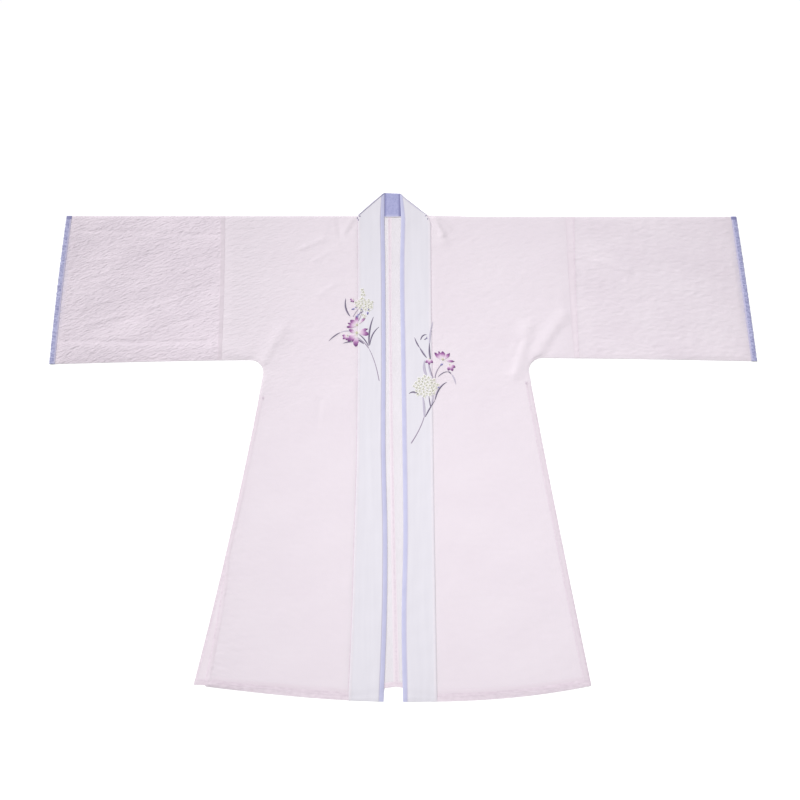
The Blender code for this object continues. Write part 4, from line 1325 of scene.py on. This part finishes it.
def lining_profile():
    """The lining below the band, and its edge rolled out beside the band."""
    start = TURNED_EDGE + GAP
    rows = [(0, start, 0, 0, FACE), (0, start, LINING_CLOTH, 0, FACE)]
    for share in shares_inside(LINING_FACE_STEPS):
        rows.append((share, mix(start, -EDGE_STRIP, share), LINING_CLOTH, 0, FACE))
    inner_heights = (LINING_CLOTH, BAND_HEIGHT - EDGE_ROUND)
    # The strip's rolled edges take its lighter copy, painted light
    rows += [(1, -EDGE_STRIP, height, 0, SHADE) for height in inner_heights]
    for share in shares_inside(STRIP_FACE_STEPS):
        height = mix(BAND_HEIGHT, STRIP_EDGE_HEIGHT, share**2)
        kind = SHADE if share == shares_inside(STRIP_FACE_STEPS)[-1] else FACE
        rows.append((1, -EDGE_STRIP * (1 - share), height, EDGE_RELIEF, kind))
    rows += [(1, 0, height, 0, SHADE) for height in (STRIP_EDGE_HEIGHT - EDGE_ROUND, EDGE_ROUND)]
    rows.append((1, -EDGE_ROUND, 0, 0, FACE))
    for share in shares_inside(LINING_FACE_STEPS)[::-1]:
        rows.append((share, mix(start, -EDGE_ROUND, share), 0, 0, FACE))
    return rows + [(0, start + NECK_EDGE_WIDTH, 0, 0, EDGE)]


def make_strip(node, rows, stations, neck, folds, materials):
    """Sweep a closed profile along the collar's stations and close both ends.

    The stations in the neck's range take the neck's kinds, which follow the others in the
    materials, and those at the folds the painted shade.
    """
    shell = Shell()
    profile = np.array([row[:4] for row in rows])
    rings = [shell.add_points(station.place(profile)) for station in stations]
    for i, (ring, following) in enumerate(zip(rings, rings[1:])):
        for k, row in enumerate(rows):
            after = (k + 1) % len(rows)
            kind = SHADE if i in folds else row[4] + (COLLAR_KINDS if i in neck else 0)
            shell.add_face((ring[k], ring[after], following[after], following[k]), kind)
    shell.add_face(rings[0], FACE)
    shell.add_face(rings[-1][::-1], FACE)
    piece = shell.build(node, materials, STRIP_SMOOTH_DEG)
    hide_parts(node)
    return piece


def surface_of(pieces):
    """The dress's faces, to look for from above."""
    points, faces = [], []
    for piece in pieces:
        first = len(points)
        points += [vertex.co.copy() for vertex in piece.data.vertices]
        faces += [[first + k for k in polygon.vertices] for polygon in piece.data.polygons]
    return BVHTree.FromPolygons(points, faces)


class Embroidery(Shell):
    """Raised stitches on a surface."""

    def __init__(self, surface):
        super().__init__()
        self.surface = surface

    def ground(self, x, y):
        hit = self.surface.ray_cast(Vector((x, y, 1.0)), Vector((0.0, 0.0, -1.0)))[0]
        return hit.z if hit else 0.0

    def add_satin(self, line, half, kind, along_threads, columns):
        """A patch of satin stitch down a line of points, domed across, and closed below.

        Each point keeps where it lies across the threads, in metres, and a share for the colour:
        along the patch where the threads run along it, else across it.
        """
        places = np.linspace(-1, 1, columns + 1)
        along = np.gradient(line, axis=0)
        along /= np.linalg.norm(along, axis=1)[:, None]
        x = line[:, :1] - along[:, 1:] * half * places
        y = line[:, 1:] + along[:, :1] * half * places
        ground = np.vectorize(self.ground)(x, y)
        dome = np.sqrt(np.maximum(1 - places**2, 0)) * clamp(half / half.max() * DOME_RUN)
        top = ground + STITCH_LIFTS[kind] + STITCH_RISES[kind] * dome
        top[:, (0, -1)] = ground[:, (0, -1)] - STITCH_SINK
        top[(0, -1), :] = ground[(0, -1), :] - STITCH_SINK
        thread, shade = half * places, patch_shares(len(line) - 1)
        if not along_threads:
            thread, shade = reaches(line)[:, None] + STITCH_SLANT * thread, places / 2 + 0.5
        threads = np.stack(np.broadcast_arrays(thread, shade), -1)
        upper = self.add_points(np.stack((x, y, top), -1)).reshape(x.shape)
        inside = (slice(1, -1), slice(1, -1))
        lower = upper.copy()
        below = np.stack((x, y, ground - STITCH_SINK), -1)[inside]
        lower[inside] = self.add_points(below).reshape(below.shape[:2])
        self.threads += [threads.reshape(-1, 2), threads[inside].reshape(-1, 2)]
        for i in range(len(line) - 1):
            for j in range(columns):
                for ids in (upper, lower):
                    self.add_face([ids[i + down, j + right] for down, right in CORNERS], kind)

    def add_strand(self, strand, kind):
        start, toward, end = np.array(strand[1:7]).reshape(3, 2)
        share = patch_shares(STRAND_MESH[0])
        line = (1 - share) ** 2 * start + 2 * share * (1 - share) * toward + share**2 * end
        swell = np.sin(math.pi * share ** LEAF_POWERS[0]) ** LEAF_POWERS[1]
        width = mix(1.0, STEM_TAPER, share) if strand.kind == STEM else mix(LEAF_TIP, 1.0, swell)
        self.add_satin(line, strand.width / 2 * width, kind, False, STRAND_MESH[1])

    def add_petal(self, centre, turn_deg, size, petal, kind, mesh):
        angle = math.radians(turn_deg + petal.turn_deg)
        out = np.array((math.cos(angle), math.sin(angle)))
        across = np.array((-out[1], out[0]))
        share = patch_shares(mesh[0])
        reach = mix(petal.start, petal.reach, share)
        line = centre + (out * reach + across * petal.bend * share**2) * size
        round_share = np.minimum(share ** PETAL_POWERS[0] + PETAL_ENDS[0], PETAL_ENDS[1])
        swell = np.sin(math.pi * round_share) ** PETAL_POWERS[1]
        wave = PETAL_WAVE * np.sin(PETAL_WAVES * share + angle) * share
        half = petal.width * size / 2 * (swell + wave) + PETAL_LEAST
        self.add_satin(line, half, kind, True, mesh[1])

    def add_bar(self, centre, turn_deg, length, width, bend, kind):
        """A short bar about its centre; its width and bend are shares of its length."""
        self.add_petal(centre, turn_deg, length, Petal(0, -0.5, 0.5, width, bend), kind, SMALL_MESH)

    def add_cluster(self, cluster):
        """Florets of four round petals, spread evenly over an oval, and knots in their middles."""
        for k in range(cluster.florets):
            angle = k * math.radians(CLUSTER_TURN_DEG) + cluster.turn
            reach = math.sqrt((k + 0.5) / cluster.florets)
            x = cluster.x + cluster.half_width * reach * math.cos(angle)
            y = cluster.y + cluster.half_height * reach * math.sin(angle)
            size = FLORET_SIZE * (1 + FLORET_UNEVEN * math.sin(5.0 * k))
            turn_deg = FLORET_TURN_DEG * k
            for turn in range(FLORET_PETALS):
                petal = Petal(360 * turn / FLORET_PETALS, *FLORET_PETAL)
                self.add_petal((x, y), turn_deg, size, petal, FLORET, FLORET_MESH)
            self.add_petal((x, y), turn_deg, HEART_SIZE / 2, FLORET_HEART, HEART, FLORET_MESH)

    def add_running(self, x, y, kind):
        """Running stitches along a line of points."""
        reach = reaches(np.stack((x, y), 1))
        for k in range(int(reach[-1] / STITCH_PITCH)):
            distances = (k * STITCH_PITCH, k * STITCH_PITCH + STITCH_LENGTH)
            a, b = np.stack([np.interp(distances, reach, places) for places in (x, y)], 1)
            along = (b - a) / STITCH_LENGTH
            across = np.array((-along[1], along[0])) * STITCH_WIDTH / 2
            middle = (a + b) / 2
            ground = self.ground(*middle)
            corners = (a, middle + across, b, middle - across)
            points = [(*corner, ground - STITCH_SINK) for corner in corners]
            ids = self.add_points(points + [(*middle, ground + STITCH_HEIGHT)])
            for corner in range(4):
                self.add_face((ids[corner], ids[(corner + 1) % 4], ids[4]), kind)
            self.add_face(ids[3::-1], kind)


def patch_shares(rows):
    """Shares from 0 to 1 down a patch, as a column."""
    return np.linspace(0, 1, rows + 1)[:, None]


def reaches(line):
    """Distances along a line of points from its first."""
    return np.append(0, np.cumsum(np.linalg.norm(np.diff(line, axis=0), axis=1)))


def make_spray(side, surface, materials):
    """One side's embroidery, which crosses from the collar onto the front."""
    spray = Embroidery(surface)
    for strand in STRANDS[side.name]:
        spray.add_strand(strand, strand.kind)
    for blossom in BLOSSOMS[side.name]:
        place = ((blossom.x, blossom.y), blossom.turn_deg, blossom.size)
        for petal in BLOSSOM_FORMS[blossom.form]:
            spray.add_petal(*place, petal, PETAL, PETAL_MESH)
        spray.add_petal(*place, BLOSSOM_HEART, HEART, SMALL_MESH)
    for bud in BUDS[side.name]:
        spray.add_bar((bud.x, bud.y), bud.turn_deg, bud.length, BUD_WIDTH, BUD_BEND, BUD)
    for cluster in CLUSTERS[side.name]:
        spray.add_cluster(cluster)
    return spray.build(f"embroidery_{side.name}", materials)


def add_collar_corner(stitching, side):
    """A dark line of thread along the collar's fold, a little inside its edge, that paints the
    fold's shade, and knots at its outer end.
    """
    outer, inner, along, out = fold_line(side)
    shift = out * FOLD_SHADE_LINE_INSET
    start, end = outer + FOLD_SHADE_LINE_START * along - shift, inner - shift
    middle = (start + end) / 2 - out * COLLAR_FOLD_BOWS[side.name] / 4
    stitching.add_strand(Strand(STEM, *start, *middle, *end, FOLD_SHADE_LINE_WIDTH), KNOT_AND_FOLD_SHADE)
    for knot in KNOTS[side.name]:
        centre = (outer[0] - side.sign * knot.shift_x, outer[1] + knot.shift_y)
        turn_deg = side.sign * knot.turn_deg
        stitching.add_bar(centre, turn_deg, knot.length, KNOT_WIDTH, KNOT_BEND, KNOT_AND_FOLD_SHADE)


def make_stitching(side, surface, materials):
    """Running stitches along one side's hems, slit, seams and collar, and the slit's bar."""
    def spread(span, low=0, high=1):
        """Values between a low and a high one, from one share of the way to another."""
        return mix(low, high, np.linspace(*span, PATH_STEPS))

    outer, inner = (band_edge(side, edge, HEM_Y) for edge in ("outer", "inner"))
    slit_y = spread(SLIT_STITCHES, HEM_Y + side.hem_rise, side.slit_top_y)
    slit_x = side_x(side, slit_y) - side.sign * (slit_inset(side, slit_y) + HEM_STITCH_INSET)
    hem_x = spread(HEM_STITCHES, outer, CENTRE_X + side.sign * side.hem_half)
    band_hem_x = spread(BAND_HEM_STITCHES, inner, outer)
    band_y = spread(BAND_STITCHES, HEM_Y, side.shoulder_y)
    band_x = band_edge(side, "outer", band_y) - side.sign * BAND_STITCH_INSET
    strip_x = band_edge(side, "inner", band_y) + side.sign * (EDGE_STRIP + STRIP_STITCH_INSET)
    sleeve_share, cuff_share = spread(SLEEVE_STITCHES), spread(CUFF_STITCHES)
    sleeve_x = seam_x(side, sleeve_share) + side.sign * SLEEVE_STITCH_INSET
    sleeve_y = mix(side.underarm_y, side.shoulder_y, sleeve_share)
    cuff_line_x = cuff_x(side, cuff_share) - side.sign * (CUFF_WIDTH - CUFF_STITCH_INSET)
    cuff_y = mix(underarm_y(side, cuff_x(side, 0)), side.shoulder_y, cuff_share)
    stitching = Embroidery(surface)
    for x, y, kind in (
        (slit_x, slit_y, HEM_THREAD),
        (hem_x, hem_y(side, hem_x) + HEM_STITCH_INSET, HEM_THREAD),
        (sleeve_x, sleeve_y, HEM_THREAD),
        (band_hem_x, hem_y(side, band_hem_x) + HEM_STITCH_INSET, BAND_THREAD),
        (band_x, band_y, BAND_THREAD),
        (strip_x, band_y, BAND_THREAD),
        (cuff_line_x, cuff_y, CUFF_THREAD),
    ):
        stitching.add_running(x, y, kind)
    add_collar_corner(stitching, side)
    for distance in SLIT_BAR_STEPS:
        centre = (slit_x[-1] - side.sign * distance, slit_y[-1])
        turn_deg = SLIT_BAR_TURN_DEG
        stitching.add_bar(centre, turn_deg, SLIT_BAR_LENGTH, SLIT_BAR_WIDTH, 0, HEM_THREAD)
    stitching.threads.clear()
    return stitching.build(f"stitches_{side.name}", materials)


def set_inputs(tree, node, inputs):
    """Links a node's inputs to sockets, or sets them to values."""
    for name, value in inputs.items():
        if isinstance(value, bpy.types.NodeSocket):
            tree.links.new(value, node.inputs[name])
        else:
            node.inputs[name].default_value = value


def add_node(tree, kind, inputs, **settings):
    node = tree.nodes.new(f"ShaderNode{kind}")
    for name, value in settings.items():
        setattr(node, name, value)
    set_inputs(tree, node, inputs)
    return node


def calculate(tree, operation, *values):
    return add_node(tree, "Math", dict(enumerate(values)), operation=operation).outputs["Value"]


def object_place(tree):
    return add_node(tree, "TexCoord", {}).outputs["Object"]


def split(tree, vector):
    return add_node(tree, "SeparateXYZ", {"Vector": vector}).outputs


def stretched_noise(tree, place, size, turn_deg=0.0, detail=2.0):
    """Noise of a size along each axis, turned by an angle."""
    inputs = {"Scale": size, "Rotation": (0.0, 0.0, math.radians(turn_deg)), "Vector": place}
    mapping = add_node(tree, "Mapping", inputs, vector_type="TEXTURE")
    inputs = {"Scale": 1.0, "Detail": detail, "Vector": mapping.outputs["Vector"]}
    return add_node(tree, "TexNoise", inputs).outputs["Fac"]


def colour_ramp(tree, factor, stops):
    """Colours that change with a factor, from one stop's share to the next one's."""
    ramp = add_node(tree, "ValToRGB", {"Fac": factor})
    elements = ramp.color_ramp.elements
    while len(elements) < len(stops):
        elements.new(0.5)
    for element, (share, colour) in zip(elements, stops):
        element.position = share
        element.color = (*colour, 1.0)
    return ramp.outputs["Color"]


def dress_shader(tree, shader, colour, height, distance, strength):
    """Gives a shader its colour and a bump of a height between 0 and 1."""
    inputs = {"Strength": strength, "Distance": distance, "Height": height}
    bump = add_node(tree, "Bump", inputs)
    set_inputs(tree, shader, {"Base Color": colour, "Normal": bump.outputs["Normal"]})


def new_material(name, roughness, alpha=1.0, sheen=0.0):
    material = bpy.data.materials.new(name)
    material.use_nodes = True
    tree = material.node_tree
    shader = tree.nodes["Principled BSDF"]
    inputs = {
        "Roughness": roughness, "Alpha": alpha, "Sheen Weight": sheen,
        "Specular IOR Level": SPECULAR,
    }
    set_inputs(tree, shader, inputs)
    return material, tree, shader


def sheer_material(cloth):
    """Sheer crinkled cloth, with crepe lines as a bump."""
    material, tree, shader = new_material(cloth.name, SHEER_ROUGHNESS, cloth.alpha, CLOTH_SHEEN)
    place = object_place(tree)
    patches = stretched_noise(tree, place, cloth.patch, cloth.direction_deg)
    colour = colour_ramp(tree, patches, list(zip(PATCH_ENDS, (cloth.colour, cloth.other))))
    crepe = (cloth.length, cloth.spacing, cloth.spacing)
    lines = stretched_noise(tree, place, crepe, cloth.direction_deg, 3.0)
    for fade in cloth.fades:
        inputs = {
            "From Min": fade.full, "From Max": fade.faded, "To Min": 1.0, "To Max": fade.share,
        }
        inputs["Value"] = split(tree, place)[fade.axis]
        share = add_node(tree, "MapRange", inputs, interpolation_type="SMOOTHSTEP")
        lines = calculate(tree, "MULTIPLY", lines, share.outputs["Result"])
    dress_shader(tree, shader, colour, lines, cloth.height, 1.0)
    return material


def thread_material(name, stops):
    """Silk thread: colours along the share kept with each point, and fine lines of thread."""
    material, tree, shader = new_material(name, THREAD_ROUGHNESS, sheen=THREAD_SHEEN)
    place = add_node(tree, "UVMap", {}, uv_map="threads").outputs["UV"]
    lines = stretched_noise(tree, place, (THREAD_WIDTH, THREAD_LENGTH, 1.0))
    uneven = calculate(tree, "MULTIPLY_ADD", lines, THREAD_UNEVEN, split(tree, place)["Y"])
    stops = [(share + THREAD_UNEVEN / 2, colour) for share, colour in stops]
    colour = colour_ramp(tree, uneven, stops)
    dress_shader(tree, shader, colour, lines, THREAD_HEIGHT, THREAD_STRENGTH)
    return material


def woven_material(cloth):
    """Opaque plain weave with slubs; on the cuff the dark ones are painted shade of its gathers."""
    material, tree, shader = new_material(cloth.name, cloth.roughness, sheen=CLOTH_SHEEN)
    place = object_place(tree)
    slub = (cloth.slub_length, cloth.slub_spacing, cloth.slub_length)
    slubs = stretched_noise(tree, place, slub, detail=3.0)
    colour = colour_ramp(tree, slubs, list(zip(PATCH_ENDS, (cloth.colour, cloth.other))))
    weave = stretched_noise(tree, place, WEAVE_SIZE)
    dress_shader(tree, shader, colour, weave, WEAVE_HEIGHT, WEAVE_STRENGTH)
    return material


def paint_neck_shade(material):
    """Paints shade into the neck's colour towards the collar's folds, where it turns under the
    band.
    """
    tree = material.node_tree
    shader = tree.nodes["Principled BSDF"]
    colour = shader.inputs["Base Color"].links[0].from_socket
    low, high = RIGHT.fold_tip_x, LEFT.fold_tip_x
    share = split(tree, object_place(tree))["X"]
    for operation, number in (
        ("SUBTRACT", (low + high) / 2),
        ("ABSOLUTE", 0.0),
        ("SUBTRACT", (high - low) / 2 - NECK_PAINTED_SHADE_RUN),
        ("DIVIDE", NECK_PAINTED_SHADE_RUN),
        ("MAXIMUM", 0.0),
        ("MINIMUM", 1.0),
    ):
        share = calculate(tree, operation, share, number)
    inputs = {"Factor": share, "A": colour, "B": (*NECK_PAINTED_SHADE, 1.0)}
    blend = add_node(tree, "Mix", inputs, data_type="RGBA")
    set_inputs(tree, shader, {"Base Color": blend.outputs["Result"]})


def add_light_and_floor():
    mesh = bpy.data.meshes.new("floor")
    signs = ((-1, -1), (1, -1), (1, 1), (-1, 1))
    corners = [(x * FLOOR_REACH, y * FLOOR_REACH, FLOOR_Z) for x, y in signs]
    mesh.from_pydata(corners, [], [(0, 1, 2, 3)])
    material, tree, shader = new_material("floor_paper", FLOOR_ROUGHNESS)
    set_inputs(tree, shader, {"Base Color": (*FLOOR_COLOUR, 1.0)})
    mesh.materials.append(material)
    floor = add_object("floor", mesh)
    key = bpy.data.lights.new("key", "SUN")
    key.energy = KEY_ENERGY
    key.angle = math.radians(KEY_ANGLE_DEG)
    turn, rise = math.radians(KEY_FROM_DEG), math.radians(KEY_RISE_DEG)
    flat = math.cos(rise)
    towards = Vector((math.cos(turn) * flat, math.sin(turn) * flat, math.sin(rise)))
    add_object("key", key).rotation_euler = towards.to_track_quat("Z", "Y").to_euler()
    panel = bpy.data.lights.new("panel", "AREA")
    panel.energy = PANEL_ENERGY
    panel.size = PANEL_SIZE
    lamp = add_object("panel", panel)
    lamp.location = PANEL_PLACE
    lamp.visible_camera = False
    world = bpy.data.worlds.new("studio")
    world.use_nodes = True
    background = world.node_tree.nodes["Background"]
    set_inputs(world.node_tree, background, {"Color": (*SKY_COLOUR, 1.0), "Strength": SKY_STRENGTH})
    bpy.context.scene.world = world
    bpy.context.scene.view_settings.view_transform = "Standard"


def add_camera():
    data = bpy.data.cameras.new("camera")
    data.lens, data.sensor_width = CAMERA_LENS, CAMERA_SENSOR
    camera = add_object("camera", data)
    tilt = math.radians(CAMERA_TILT_DEG)
    back, up = CAMERA_DISTANCE * math.sin(tilt), CAMERA_DISTANCE * math.cos(tilt)
    camera.location = (CAMERA_AIM[0], CAMERA_AIM[1] - back, up)
    camera.rotation_euler = (tilt, 0.0, 0.0)
    bpy.context.scene.camera = camera


add_camera()
add_light_and_floor()
cloths = {cloth.name: sheer_material(cloth) for cloth in SHEER_CLOTHS}
cloths.update((cloth.name, woven_material(cloth)) for cloth in WOVEN_CLOTHS)
# painted shade towards the folds on both of the neck's colours
for name in ("lilac_neck", "lilac_neck_edge"):
    paint_neck_shade(cloths[name])


def picked(*names):
    return [cloths[name] for name in names]


grids = {side: BodyGrid(side) for side in SIDES}
tops = []
for side in SIDES:
    tops.append(make_body(side, grids[side], picked("sheer_body", *HEM_CLOTHS)))
    tops.append(make_sleeve(side, picked(f"sheer_sleeve_{side.name}", *HEM_CLOTHS)))
    tops.append(make_cuff(side, picked(*CUFF_CLOTHS)))
up, down = front_stations(RIGHT, grids[RIGHT]), front_stations(LEFT, grids[LEFT])
stations = up + fold_stations(RIGHT) + neck_stations() + fold_stations(LEFT)[::-1] + down[::-1]
neck = range(len(up), len(stations) - len(down) - 1)
folds = {len(up) - 1, len(up), neck[-1], neck[-1] + 1}
tops.append(make_strip("collar_band", band_profile(), stations, (), folds, picked(*BAND_CLOTHS)))
lining = picked(*LINING_CLOTHS, *NECK_CLOTHS)
tops.append(make_strip("collar_lining", lining_profile(), stations, neck, (), lining))
surface = surface_of(tops)
thread_cloths = [thread_material(name, stops) for name, stops in THREADS]
for side in SIDES:
    spray = make_spray(side, surface, thread_cloths)
    stitches = make_stitching(side, surface, picked(*SEAM_THREADS))
